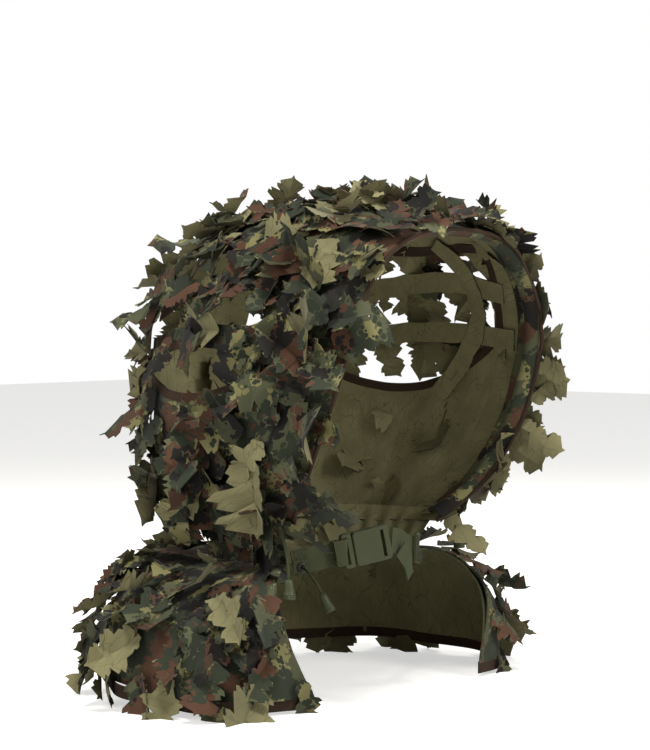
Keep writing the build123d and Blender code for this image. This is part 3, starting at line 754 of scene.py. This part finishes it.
def collar_point(u, v):
    bearing = span(-COLLAR_END, COLLAR_END, u)
    sx, sy = compass(bearing)
    low = Vector((sx, sy, 0)) * (ring(sx, sy, COLLAR) + 0.001) + Vector((0, 0, COLLAR_LOW))

    def outside(radius):
        share = side_share(radius * sy - HOOD_Y, COLLAR_HIGH - HOOD_Z)
        return superellipse(radius * sx / HALF_WIDTH, share, BULGE_POWER) - 1

    high_radius = solve(outside, 0.030, 0.200) - 0.002
    high = Vector((high_radius * sx, high_radius * sy, COLLAR_HIGH))
    p = low.lerp(high, v)
    pinch = GATHER_DEEP * math.sin(u * GATHERS * math.pi) * math.sin(v * math.pi)
    return p - Vector((sx, sy, 0)) * (pinch + 0.004 * math.sin(v * math.pi))


collar = sheet(
    "collar_cloth", None, "collar_band", collar_point,
    180, 10, CLOTH_SKINS, Vector((0, 0, 0)), depth=0.3,
)
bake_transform(collar)

# %% [markdown]
# ## The open side windows
# Each side of the hood is an open window crossed by three strips of the printed cloth, two level
# and one slanted. Dark tape binds the window's rim.


# %% Strips of cloth and webbing
def smooth_route(points, share):
    """A point of the smooth curve that a short list of points controls."""
    padded = [points[0] * 2 - points[1], *points, points[-1] * 2 - points[-2]]
    place = share * (len(points) - 1)
    i = min(int(place), len(points) - 2)
    t = place - i
    a, b, c, d = padded[i : i + 4]
    return (
        (b * 2) + (c - a) * t + (a * 2 - b * 5 + c * 4 - d) * t**2 + (b * 3 - a - c * 3 + d) * t**3
    ) / 2


STRAP_WIDTH = 0.021
WINDOW_STRAPS = (
    ("upper", 0.0023, ((-0.122, 0.252), (-0.070, 0.262), (-0.010, 0.264), (0.050, 0.254), (0.104, 0.234))),
    ("lower", 0.0023, ((-0.126, 0.204), (-0.070, 0.210), (0.000, 0.212), (0.070, 0.206), (0.128, 0.190))),
    (
        "slanted",
        0.0043,
        ((-0.058, 0.306), (-0.078, 0.268), (-0.082, 0.228), (-0.060, 0.186), (-0.024, 0.146)),
    ),
)


def strap_place(route, u, v, deep, width=STRAP_WIDTH):
    """A point of a strap on the hood's side: u along it, v across it, deep inside the surface."""
    centre = smooth_route(route, u)
    ahead = smooth_route(route, min(1.0, u + 0.02)) - smooth_route(route, max(0.0, u - 0.02))
    beside = Vector((-ahead.y, ahead.x)).normalized() * (v - 0.5) * width
    p = hood_side(centre.x + beside.x, centre.y + beside.y)
    return p + (HOOD_MIDDLE - p).normalized() * deep


def ragged_width(u, v, sign):
    return STRAP_WIDTH * (1 + 0.25 * noise.noise(Vector((u * 9, v * 2, sign))))


strap_routes = {}
for stem, deep, route in WINDOW_STRAPS:
    strap_routes[stem] = [Vector(point) for point in route]
    for side, sign in SIDES:
        sheet(
            f"window_strip_{stem}_{side}", "hood", f"window_strap_{stem}_{side}",
            lambda u, v: strap_place(strap_routes[stem], u, v, deep, ragged_width(u, v, sign)),
            56, 6, CLOTH_SKINS, HOOD_MIDDLE, sign, 0.7,
        )

# %% Binding tape round the windows
TAPE_WIDTH, TAPE_LAP, TAPE_THICK = 0.009, 0.003, 0.0022
WINDOW_TOP = solve(lambda b: WINDOW_HEAD - brim_point(b, BRIM_BAND).z, 5.0, 80.0)
WINDOW_FOOT = solve(lambda b: window_sill(0) - brim_point(b, BRIM_BAND).z, 40.0, 110.0)
TAPE_SKINS = (binding_tape, binding_tape)
for side, sign in SIDES:
    sheet(
        f"sill_binding_{side}", "hood", f"window_binding_{side}",
        lambda u, v: cheek_point(u, 1) * 1.003 + Vector((0, 0, span(-TAPE_LAP, TAPE_WIDTH - TAPE_LAP, v))),
        60, 4, TAPE_SKINS, HOOD_MIDDLE, sign, 1.5, TAPE_THICK,
    )
    sheet(
        f"head_binding_{side}", "hood", None,
        lambda u, v: hood_side(
            span(CROWN_START, WINDOW_END, u), WINDOW_HEAD + span(TAPE_LAP, TAPE_LAP - TAPE_WIDTH, v)
        ),
        60, 4, TAPE_SKINS, HOOD_MIDDLE, sign, 1.0, TAPE_THICK,
    )
    sheet(
        f"front_binding_{side}", "hood", None,
        lambda u, v: brim_point(
            span(WINDOW_TOP, WINDOW_FOOT, u), BRIM_BAND + span(-TAPE_LAP, TAPE_WIDTH - TAPE_LAP, v)
        ),
        50, 4, TAPE_SKINS, HOOD_MIDDLE, sign, 1.0, TAPE_THICK,
    )

# %% [markdown]
# The brim's edge is piped: a thin dark cord covered in tape runs round the whole face opening.

# %% Piping along the brim
PIPING = 0.0022
PIPING_POINTS = 150
PIPING_SIDES = 8


def pipe(name, points, radius, skin, body):
    """A round rope along points, closed at both ends, as one mesh."""
    vertices, faces, flat = [], [], []
    reach = 0.0
    for i, p in enumerate(points):
        way = (points[min(i + 1, len(points) - 1)] - points[max(i - 1, 0)]).normalized()
        side_way = way.cross((p - HOOD_MIDDLE).normalized()).normalized()
        up_way = side_way.cross(way)
        reach += (p - points[max(i - 1, 0)]).length
        for k in range(PIPING_SIDES):
            turn = 2 * math.pi * k / PIPING_SIDES
            vertices.append(p + (side_way * math.cos(turn) + up_way * math.sin(turn)) * radius)
            flat.append((reach, radius * turn))
    for i in range(len(points) - 1):
        for k in range(PIPING_SIDES):
            a, b = i * PIPING_SIDES + k, i * PIPING_SIDES + (k + 1) % PIPING_SIDES
            faces.append((a, b, b + PIPING_SIDES, a + PIPING_SIDES))
    faces.append(tuple(range(PIPING_SIDES))[::-1])
    faces.append(tuple(range((len(points) - 1) * PIPING_SIDES, len(points) * PIPING_SIDES)))
    piece = finish_mesh(name, vertices, faces, flat, (skin,))
    select_only(piece)
    bpy.ops.object.mode_set(mode="EDIT")
    bpy.ops.mesh.select_all(action="SELECT")
    bpy.ops.mesh.normals_make_consistent(inside=False)
    bpy.ops.object.mode_set(mode="OBJECT")
    bpy.ops.object.shade_smooth_by_angle(angle=math.radians(60))
    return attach(piece, body)


rim_points = []
for i in range(PIPING_POINTS + 1):
    p = brim_point(span(-BRIM_END, BRIM_END, i / PIPING_POINTS), 0.0005)
    rim_points.append(p + (p - HOOD_MIDDLE).normalized() * folds(p))
pipe("brim_piping", rim_points, PIPING, binding_tape, "hood")

# %% [markdown]
# ## Leaves
# A leaf is cut from the printed cloth with a hot knife: notched, with blunt ragged lobes, no two alike.
# One is about a hand's palm long. It is sewn on at its stalk, so it stands off the hood, curls and
# shows its khaki back. Each leaf here is a strip of faces on both sides of its midrib, bent by a
# few random curls, and the leaves of one panel are joined into one piece.

# %% Cutting one leaf
LOBES = 3
LEAF_CLOTH = 0.0007
# the ranges of a leaf's curls: along it, across it, at its midrib, round it, and its ripple's height and beat
ARCH, CUP, CREASE, TWIST = (-19, 13), (-12, 20), (-0.35, 0.6), (-13, 13)
RIPPLE, BEAT = (0.0008, 0.0034), (80, 170)


def leaf_outline(length, width, dice):
    """Half a leaf's outline from stalk to tip. Notches and lobes take turns."""
    half = [(0.0, 0.06 * width)]
    for lobe in range(LOBES):
        share = (lobe + 0.15) / (LOBES + 0.35)
        swell = 0.5 * width * math.sin(math.pi * (0.2 + 0.74 * share)) ** 1.1 * dice.uniform(0.8, 1.25)
        reach = dice.uniform(0.14, 0.21)
        half.append((length * share, swell * dice.uniform(0.34, 0.6)))
        half.append((length * (share + reach * 0.2), swell * dice.uniform(0.8, 0.94)))
        half.append((length * (share + reach * 0.6), swell * dice.uniform(0.96, 1.12)))
        half.append((length * (share + reach * 0.75), swell * dice.uniform(0.76, 0.88)))
        half.append((length * (share + reach * 1.1), swell * dice.uniform(0.84, 1.02)))
    half.append((length * 0.93, width * dice.uniform(0.04, 0.1)))
    return half


def leaf(length, width, dice):
    """Points, faces and flat pattern of one curled leaf. It lies along +X and looks to +Z."""
    sides = [leaf_outline(length, width, dice) for _ in range(2)]
    count = len(sides[0])
    middle = [(length * 0.9 * k / (count - 1) * (0.55 + 0.45 * k / (count - 1)), 0.0) for k in range(count)]
    flat = middle + sides[0] + [(x, -y) for x, y in sides[1]] + [(length, dice.uniform(-0.08, 0.08) * width)]
    faces = []
    for k in range(count - 1):
        faces.append((k, k + 1, count + k + 1, count + k)[::-1])
        faces.append((k, k + 1, 2 * count + k + 1, 2 * count + k))
    tip = 3 * count
    faces += [(2 * count - 1, tip, count - 1), (count - 1, tip, 3 * count - 1)]
    faces = [face[::-1] for face in faces]
    arch, cup, crease, twist, ripple, beat = (
        dice.uniform(*bounds) for bounds in (ARCH, CUP, CREASE, TWIST, RIPPLE, BEAT)
    )
    points = []
    for x, y in flat:
        waves = ripple * math.sin(x * beat + y * 60) * min(1.0, 6 * abs(y) / width + x / length)
        z = cup * y * y + crease * abs(y) + waves
        turn = twist * x
        y, z = y * math.cos(turn) - z * math.sin(turn), y * math.sin(turn) + z * math.cos(turn)
        bend = arch * x
        along = math.sin(bend) / arch
        lift = (1 - math.cos(bend)) / arch
        points.append(Vector((along - z * math.sin(bend), y, lift + z * math.cos(bend))))
    return points, faces, flat


# %% Sewing leaves on
# how far past the CAD box a leaf may reach
STANDS_PROUD = [side * 0.026 + 0.008 for side in cad_high - cad_low]
KHAKI_SHARE = 0.13


def within_room(p):
    return all(cad_low[k] - STANDS_PROUD[k] < p[k] < cad_high[k] + STANDS_PROUD[k] for k in range(3))


class Leaves:
    """Collects the leaves of one panel, then makes them one piece."""

    def __init__(self, seed):
        self.dice = random.Random(seed)
        self.vertices, self.faces, self.flat, self.tones = [], [], [], []
        self.count = 0

    def sew(self, at, looks, points_to, lifts, length, widths):
        """Sews on a leaf. looks is the cloth's normal. lifts is the range of degrees that the leaf
        stands off by, and widths the range of its width over its length."""
        dice = self.dice
        lift = math.radians(dice.uniform(*lifts))
        width = length * dice.uniform(*widths)
        along = (points_to - looks * points_to.dot(looks)).normalized()
        tilted = along * math.cos(lift) + looks * math.sin(lift)
        up = looks * math.cos(lift) - along * math.sin(lift)
        frame_of_leaf = Matrix((tilted, up.cross(tilted), up)).transposed()
        points, faces, flat = leaf(length, width, dice)
        while not all(within_room(at + frame_of_leaf @ point) for point in points):
            points = [point * 0.85 for point in points]
            flat = [(x * 0.85, y * 0.85) for x, y in flat]
        moved = Vector((dice.uniform(0, 4), dice.uniform(0, 4)))
        turn = dice.uniform(0, math.tau)
        sine, cosine = math.sin(turn), math.cos(turn)
        start = len(self.vertices)
        backwards = dice.random() < KHAKI_SHARE
        tone = dice.uniform(0.72, 1.18)
        for point, (x, y) in zip(points, flat):
            self.vertices.append(at + looks * 0.0035 + frame_of_leaf @ point)
            self.flat.append((moved.x + x * cosine - y * sine, moved.y + x * sine + y * cosine))
            self.tones.append(tone)
        for face in faces:
            face = tuple(start + corner for corner in face)
            self.faces.append(face[::-1] if backwards else face)
        self.count += 1

    def join(self, name, body, *nodes):
        piece = finish_mesh(name, self.vertices, self.faces, self.flat, (camo_leaf, khaki_leaf), self.tones)
        thicken(piece, LEAF_CLOTH, 0.0)
        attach(piece, body)
        if nodes:
            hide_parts(*nodes)
        print(f"{name}: {self.count} leaves, {len(piece.data.polygons)} faces")
        return piece


# %% [markdown]
# The hood's leaves are spread evenly by the golden angle, then jostled. Most hang down and back.
# Those by the brim reach past its edge, and those on top stand up.

# %% Leaves on the hood
GOLDEN = math.pi * (3 - math.sqrt(5))
HOOD_LEAVES = 760
CROWN_LENGTHS, HOOD_LENGTHS, SMALL_LENGTHS = (0.042, 0.066), (0.044, 0.084), (0.040, 0.072)
BRIM_LIFTS, HOOD_LIFTS = (4, 30), (2, 20)


def surface_normal(way):
    """The way the hood's surface looks in a direction from its middle."""
    steps = []
    for axis in range(3):
        nudge = Vector((0, 0, 0))
        nudge[axis] = 0.01
        ahead = surface_size(*(a + b for a, b in zip(way, nudge)))
        steps.append(ahead - surface_size(*(a - b for a, b in zip(way, nudge))))
    return Vector(steps).normalized()


def region_of(p):
    """Which panel a place on the hood belongs to, or None where there is no cloth."""
    if p.z < HOOD_HEM + 0.006 or p.y < brim_y(p.z) + 0.003:
        return None
    side = "left" if p.x > 0 else "right"
    if p.y < brim_y(p.z) + BRIM_BAND:
        return f"brim_{side}"
    if p.z > WINDOW_HEAD:
        return "crown"
    if abs(p.x) < BAND_HALF:
        return "rear"
    front = brim_y(p.z) + BRIM_BAND
    along = (p.y - front) / max(0.01, side_rear_y(p.z) - front)
    return f"cheek_{side}" if p.z < window_sill(min(1.0, max(0.0, along))) else f"window_{side}"


groups = {}
for i in range(HOOD_LEAVES):
    height = 1 - 2 * (i + 0.5) / HOOD_LEAVES
    flat_radius = math.sqrt(1 - height * height)
    way = Vector((flat_radius * math.cos(i * GOLDEN), flat_radius * math.sin(i * GOLDEN), height))
    p = hood_toward(way)
    region = region_of(p)
    if region is None or region.startswith("window") or (region.startswith("cheek") and i % 4 == 0):
        continue
    leaves = groups.setdefault(region, Leaves(len(region) * 7 + (3 if "left" in region else 0)))
    dice = leaves.dice
    looks = surface_normal(way)
    down = Vector((0, 0.25, -1))
    if region == "crown":
        down = Vector((p.x * 9 + dice.uniform(-0.6, 0.6), dice.uniform(-0.5, 1), -0.3))
    if region.startswith("brim"):
        down = Vector((p.x * 2.5, -0.6 + dice.uniform(-0.8, 0.9), (p.z - HOOD_Z) * 3))
    down = Matrix.Rotation(dice.gauss(0, 0.75), 3, looks) @ down
    length = dice.uniform(*(CROWN_LENGTHS if region == "crown" else HOOD_LENGTHS))
    leaves.sew(p, looks, down, BRIM_LIFTS if region.startswith("brim") else HOOD_LIFTS, length, (0.5, 0.78))

# %% Leaves on the window strips, and those that hang from the crown's edges over the windows
CURTAIN_LEAVES = 10
for side, sign in SIDES:
    leaves = groups.setdefault(f"window_{side}", Leaves(91 + sign))
    dice = leaves.dice
    for stem, count in (("upper", 15), ("lower", 12), ("slanted", 11)):
        for k in range(count):
            along = (k + dice.uniform(0.2, 0.8)) / count
            p = strap_place(strap_routes[stem], along, dice.uniform(0.2, 0.8), 0.0)
            looks = surface_normal(p - HOOD_MIDDLE)
            p, looks = mirrored(p, sign), mirrored(looks, sign)
            length = dice.uniform(0.036, 0.064)
            reach = Matrix.Rotation(dice.gauss(0, 0.9), 3, looks) @ Vector((0, 0.2, -1))
            leaves.sew(p, looks, reach, (2, 26), length, (0.5, 0.8))

    for k in range(CURTAIN_LEAVES):
        y = span(CROWN_START, WINDOW_END, (k + dice.uniform(0.1, 0.9)) / CURTAIN_LEAVES)
        p = mirrored(hood_side(y, WINDOW_HEAD + dice.uniform(0.001, 0.010)), sign)
        looks = surface_normal(p - HOOD_MIDDLE)
        reach = Matrix.Rotation(dice.gauss(0, 0.5), 3, looks) @ Vector((0, 0.1, -1))
        leaves.sew(p, looks, reach, (-4, 14), dice.uniform(*SMALL_LENGTHS), (0.45, 0.7))

for region, leaves in sorted(groups.items()):
    nodes = (f"leaves_{region}",) if f"leaves_{region}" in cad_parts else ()
    leaves.join(f"hood_leaves_{region}", "hood", *nodes)
print(sum(group.count for group in groups.values()), "leaves on the hood")

# %% Leaves on the cape
CAPE_ROWS = 7
cape_groups = {}
for row in range(CAPE_ROWS):
    down = span(0.16, 0.95, row / (CAPE_ROWS - 1))
    reach = (cape(90, down).xy).length
    count = int(reach * 2 * math.radians(front_edge(down)) / 0.040)
    for k in range(count):
        bearing = span(-front_edge(down), front_edge(down), (k + 0.25 + 0.5 * (row % 2)) / count)
        panel = "shoulder_left" if bearing > 0 else "shoulder_right"
        if abs(bearing) < SHOULDER_FROM:
            panel = "back"
        leaves = cape_groups.setdefault(panel, Leaves(300 + len(panel)))
        dice = leaves.dice
        spot = down + dice.uniform(-0.05, 0.04)
        p = hanging_folds(bearing, spot)
        ahead = hanging_folds(bearing, spot + 0.03) - p
        beside = hanging_folds(bearing + 2, spot) - p
        looks = ahead.cross(beside).normalized()
        if looks.z < 0 and looks.dot(Vector((p.x, p.y, 0))) < 0:
            looks = -looks
        if looks.dot(p - CAPE_MIDDLE) < 0:
            looks = -looks
        length = dice.uniform(*SMALL_LENGTHS)
        reach_way = Matrix.Rotation(dice.gauss(0, 0.6), 3, looks) @ ahead.normalized()
        leaves.sew(p, looks, reach_way, (5, 22), length, (0.5, 0.8))
for panel, leaves in sorted(cape_groups.items()):
    leaves.join(f"cape_leaves_{panel}", "cape", f"leaves_{panel}")

# %% [markdown]
# ## The throat strap
# Webbing 25 mm wide closes the neck. The right strap is sewn to the cape and passes under the
# buckle's plug, and the left one runs from the socket through a slider to the cape's other edge.
# Its spare end hangs down. Each is a flat sheet that follows a smooth line.

# %% The buckle's own directions
BUCKLE_AT = Vector((-0.045, -0.077, 0.004))
BUCKLE_TURN, BUCKLE_RISE = math.radians(-30), math.radians(11)
ALONG = Vector(
    (
        math.cos(BUCKLE_RISE) * math.cos(BUCKLE_TURN),
        math.cos(BUCKLE_RISE) * math.sin(BUCKLE_TURN),
        math.sin(BUCKLE_RISE),
    )
)
ACROSS = (Vector((0, 0, 1)) - ALONG * ALONG.z).normalized()
OUTWARD = ALONG.cross(ACROSS)
THROAT = Vector((0, 0.02, 0))
WEBBING_WIDTH, WEBBING = 0.025, 0.0016


def buckle_point(along, outward, across=0.0):
    return BUCKLE_AT + (ALONG * along + OUTWARD * outward + ACROSS * across) / 1000


# %% Webbing
def webbing_place(route, width, u, v):
    p = smooth_route(route, u)
    way = (smooth_route(route, min(1.0, u + 0.03)) - smooth_route(route, max(0.0, u - 0.03))).normalized()
    return p + (Vector((0, 0, 1)) - way * way.z).normalized() * (v - 0.5) * width


WEBBINGS = {
    "throat_strap_right": (
        "cape",
        WEBBING_WIDTH,
        [buckle_point(reach, -3.7) for reach in (-62, -46, -30, -14)],
    ),
    "throat_strap_left": (
        "cape",
        WEBBING_WIDTH,
        [
            buckle_point(41, 0.8),
            Vector((0.014, -0.091, 0.007)),
            Vector((0.040, -0.077, 0.000)),
            Vector((0.070, -0.061, -0.005)),
            Vector((0.0975, -0.046, -0.009)),
        ],
    ),
    "strap_tail": (
        "cape",
        0.018,
        [Vector((0.002, -0.099, 0.002)), Vector((0.013, -0.099, -0.010)), Vector((0.020, -0.097, -0.026))],
    ),
    "plug_webbing": (
        "plug",
        WEBBING_WIDTH,
        [
            buckle_point(-20, 3.5),
            buckle_point(-14, 3.9),
            buckle_point(-9.6, 3.4),
            buckle_point(-7.9, 1.3),
            buckle_point(-9.6, -0.5),
            buckle_point(-14, -0.6),
            buckle_point(-20, -0.3),
        ],
    ),
}
for node, (body, width, route) in WEBBINGS.items():
    sheet(
        f"{node}_webbing", body, node, lambda u, v: webbing_place(route, width, u, v),
        10 * len(route), 8, (olive_webbing, olive_webbing), THROAT,
        depth=0.12, thickness=WEBBING,
    )

# %% [markdown]
# ## Cord tabs and eyelets
# A small webbing tab at each side of the throat holds an eyelet, and so does each lower corner of
# the brim. An eyelet is rolled metal: a profile spun round its axis makes the flange and barrel.

# %% Tabs
TAB_LENGTH, TAB_WIDTH, TAB_THICK = 0.017, 0.013, 0.0012
TABS = {
    "left": (Vector((0.088, -0.0545, -0.016)), Vector((0.42, -0.907, 0)).normalized()),
    "right": (buckle_point(-54, -3.7, -5), OUTWARD),
}


def tab_place(side, u, v):
    middle, out = TABS[side]
    beside = Vector((-out.y, out.x, 0))
    return middle + out * 0.0015 + beside * (u - 0.5) * TAB_LENGTH + Vector((0, 0, (v - 0.5) * TAB_WIDTH))


for side, sign in SIDES:
    sheet(
        f"cord_tab_cloth_{side}", "cape", f"cord_tab_{side}", lambda u, v: tab_place(side, u, v),
        12, 10, (olive_webbing, olive_webbing), THROAT,
        depth=0.05, thickness=TAB_THICK,
    )

# %% Spinning a profile
LATHE_STEPS = 24


def spun(name, body, node, profile, at, way, skin, ribs=None):
    """Spins a profile of (radius, height) round an axis. ribs is (low, high, depth) of a ribbed band."""
    mesh = bpy.data.meshes.new(name)
    edges = [(k, k + 1) for k in range(len(profile) - 1)]
    mesh.from_pydata([(radius, 0, height) for radius, height in profile], edges, [])
    piece = bpy.data.objects.new(name, mesh)
    bpy.context.collection.objects.link(piece)
    select_only(piece)
    bpy.ops.object.mode_set(mode="EDIT")
    bpy.ops.mesh.select_all(action="SELECT")
    bpy.ops.mesh.spin(steps=LATHE_STEPS, angle=math.tau, center=(0, 0, 0), axis=(0, 0, 1))
    bpy.ops.mesh.select_all(action="SELECT")
    bpy.ops.mesh.remove_doubles(threshold=0.00002)
    bpy.ops.mesh.normals_make_consistent(inside=False)
    bpy.ops.object.mode_set(mode="OBJECT")
    stand = way.to_track_quat("Z", "Y").to_matrix()
    for vertex in mesh.vertices:
        p = vertex.co.copy()
        if ribs and ribs[0] < p.z < ribs[1] and p.xy.length > 0.004:
            step = round(math.atan2(p.y, p.x) / (math.tau / LATHE_STEPS))
            if step % 2:
                p.xy = p.xy * (1 - ribs[2])
        vertex.co = at + stand @ p
    mesh.materials.append(skin)
    bpy.ops.object.shade_smooth_by_angle(angle=math.radians(35))
    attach(piece, body)
    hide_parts(node)
    return piece


# %% Eyelets
EYELET = (
    (0.0021, -0.0012), (0.0021, 0.0011), (0.0025, 0.0016), (0.0033, 0.0018),
    (0.0042, 0.0015), (0.0048, 0.0008), (0.0050, 0.0), (0.0026, -0.0002), (0.0021, -0.0012),
)
EYELET_BACK, EYELET_HIGH = 0.017, 0.038
eyelet_y = brim_y(EYELET_HIGH) + EYELET_BACK
eyelet_at = hood_side(eyelet_y, EYELET_HIGH)
eyelet_looks = surface_normal(eyelet_at - HOOD_MIDDLE)
for side, sign in SIDES:
    at, looks = mirrored(eyelet_at, sign), mirrored(eyelet_looks, sign)
    middle, out = TABS[side]
    for place, body, p, way in (
        ("hood", "hood", at + looks * 0.0012, looks),
        ("tab", "cape", middle + out * 0.0016, out),
    ):
        spun(f"{place}_rolled_eyelet_{side}", body, f"{place}_eyelet_{side}", EYELET, p, way, eyelet_metal)

# %% [markdown]
# ## Drawcords and their pulls
# Three cord ends hang free: one at each lower corner of the brim and one at the right tab. A limp
# cord leaves its eyelet straight, bends and hangs. Each ends in a moulded bell with a ribbed rim,
# which hides the knot. The cord is a NURBS curve through a few control points.

# %% Cords and bells
PULL_CORD = 0.0028
PULLS = {
    # node stem: body, length, route
    "hood_left": (
        "hood",
        0.0345,
        (
            (0.13485, -0.05989, 0.03641), (0.13944, -0.06021, 0.03551), (0.14333, -0.06048, 0.03291),
            (0.14593, -0.06066, 0.02901), (0.14683, -0.06072, 0.02441), (0.14713, -0.06074, 0.01641),
            (0.14732, -0.06075, 0.00791),
        ),
    ),
    "hood_right": (
        "hood",
        0.0615,
        (
            (-0.13485, -0.05989, 0.03641), (-0.13944, -0.06071, 0.03541), (-0.14234, -0.06441, 0.03221),
            (-0.14363, -0.06950, 0.02691), (-0.14423, -0.07454, 0.01941), (-0.14443, -0.07805, 0.00841),
            (-0.14453, -0.07996, -0.00359), (-0.14453, -0.08056, -0.01559),
        ),
    ),
    "tab_right": (
        "cape",
        0.0352,
        (
            (-0.08958, -0.05011, -0.01121), (-0.09171, -0.05580, -0.01241), (-0.09205, -0.06138, -0.01621),
            (-0.09120, -0.06591, -0.02171), (-0.08957, -0.07009, -0.02721), (-0.08775, -0.07333, -0.03521),
        ),
    ),
}
BELL = (
    (0.0, 0.0003), (0.0019, 0.0), (0.0031, 0.0004), (0.0039, 0.0017), (0.0043, 0.0050), (0.0048, 0.0090),
    (0.0053, 0.0124), (0.0056, 0.0132), (0.0061, 0.0138), (0.0061, 0.0146), (0.0057, 0.0151), (0.0061, 0.0156),
    (0.0061, 0.0165), (0.0057, 0.0170), (0.0061, 0.0175), (0.0061, 0.0184), (0.0056, 0.0190), (0.0048, 0.0190),
    (0.0044, 0.0180), (0.0040, 0.0150), (0.0, 0.0145),
)
BELL_RIBS = (0.0136, 0.0186, 0.06)
for stem, (body, length, route) in PULLS.items():
    ends = [Vector(point) for point in route]
    hangs = (ends[-1] - ends[-2]).normalized()
    pull_bell = spun(
        f"{stem}_bell", body, f"{stem}_pull_bell", BELL, ends[-1], hangs, olive_plastic, BELL_RIBS
    )
    line = bpy.data.curves.new(f"{stem}_cord", "CURVE")
    line.dimensions = "3D"
    line.bevel_depth, line.bevel_resolution, line.use_fill_caps = PULL_CORD / 2, 3, True
    spline = line.splines.new("NURBS")
    spline.points.add(len(route) - 1)
    for point, place in zip(spline.points, route):
        point.co = (*place, 1)
    spline.order_u = 3
    spline.use_endpoint_u = True
    spline.resolution_u = 8
    line.materials.append(cord_braid)
    cord = bpy.data.objects.new(f"{stem}_cord", line)
    bpy.context.collection.objects.link(cord)
    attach(cord, body)
    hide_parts(f"{stem}_pull_cord")

# %% [markdown]
# ## Stitching
# Thread shows where the inside is seen: along the drawcord's tunnel, along each front edge's
# webbing, and in a boxed cross where the strap is sewn to the cape. One stitch is a short bead,
# made once and copied along each row.

# %% Stitches
STITCH_LONG, STITCH_THICK, STITCH_PITCH = 0.0021, 0.0005, 0.0031
bpy.ops.object.select_all(action="DESELECT")
bpy.ops.mesh.primitive_uv_sphere_add(segments=6, ring_count=4, radius=0.5, location=(0, 0, 0))
bead = bpy.context.object
bead_points = [vertex.co.copy() for vertex in bead.data.vertices]
bead_faces = [tuple(face.vertices) for face in bead.data.polygons]
bpy.data.objects.remove(bead)


def stitch_rows(name, body, rows):
    """Beads along rows. A row is a list of (place, the way the cloth looks there)."""
    vertices, faces, flat = [], [], []
    for row in rows:
        walked, due = 0.0, STITCH_PITCH / 2
        for (a, looks), (b, _) in zip(row, row[1:]):
            reach = (b - a).length
            while due < walked + reach:
                way = (b - a).normalized()
                beside = way.cross(looks).normalized()
                stand = Matrix((way * STITCH_LONG, beside * STITCH_THICK, looks * STITCH_THICK)).transposed()
                start = len(vertices)
                middle = a + way * (due - walked)
                for point in bead_points:
                    vertices.append(middle + stand @ Vector((point.z, point.x, point.y)))
                    flat.append((point.x, point.y))
                faces.extend(tuple(start + corner for corner in face) for face in bead_faces)
                due += STITCH_PITCH
            walked += reach
    piece = finish_mesh(name, vertices, faces, flat, (stitch_thread,))
    select_only(piece)
    bpy.ops.object.shade_smooth()
    print(f"{name}: {len(faces) // len(bead_faces)} stitches")
    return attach(piece, body)


def facing_row(v):
    row = []
    for k in range(241):
        p = facing_point(k / 240, v)
        looks = surface_normal(p - HOOD_MIDDLE)
        row.append((p + looks * (folds(p, FACING_DEPTH) - CLOTH - 0.0001), looks * -1))
    return row


stitch_rows("facing_stitches", "hood", [facing_row(TUNNEL_SHARE + 0.03), facing_row(0.94)])


def boxed_cross(middle, beside, up, looks, half_long, half_wide):
    """The rows of a box with a cross in it."""
    places = ((-1, -1), (1, -1), (1, 1), (-1, 1))
    corner = [middle + beside * half_long * i + up * half_wide * j for i, j in places]
    sides = [(corner[k], corner[(k + 1) % 4]) for k in range(4)]
    sides += [(corner[0], corner[2]), (corner[1], corner[3])]
    return [[(a, looks), (b, looks)] for a, b in sides]


rows = boxed_cross(buckle_point(-52.5, -2.9, 7), ALONG, ACROSS, OUTWARD, 0.006, 0.004)
for side, sign in SIDES:
    middle, out = TABS[side]
    beside = Vector((-out.y, out.x, 0))
    for end in (-1, 1):
        place = middle + out * 0.0016 + beside * 0.0066 * end
        rows += boxed_cross(place, beside, Vector((0, 0, 1)), out, 0.0012, 0.0048)[:4]
stitch_rows("strap_stitches", "cape", rows)
edge_rows = []
for side, sign in SIDES:
    for inset in (1.2, 11.0):
        row = []
        for k in range(60):
            down = span(0.08, 0.96, k / 59)
            p = cape(front_edge(down) - inset * (1 - 0.25 * down), down) * 0.985
            p = mirrored(p, sign)
            inward = Vector((-p.x, -p.y, 0.02)).normalized()
            row.append((p + inward * 0.0017, inward))
        edge_rows.append(row)
stitch_rows("edge_stitches", "cape", edge_rows)

# %% [markdown]
# ## The moulded parts
# The buckle's socket, plug and latch arms and the slider keep the CAD's shapes, since those are
# exact, and take the olive acetal. So does the drawcord inside its tunnel, which takes the braid.

# %% Finishes for the parts kept from the frame
KEPT = {
    "buckle_socket": olive_plastic,
    "buckle_plug": olive_plastic,
    "latch_arm_upper": olive_plastic,
    "latch_arm_lower": olive_plastic,
    "tri_glide": olive_plastic,
    "hood_drawcord": cord_braid,
}
for node, finish in KEPT.items():
    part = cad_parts[node]
    part.data.materials.clear()
    part.data.materials.append(finish)
print(len(KEPT), "parts keep their CAD shape")
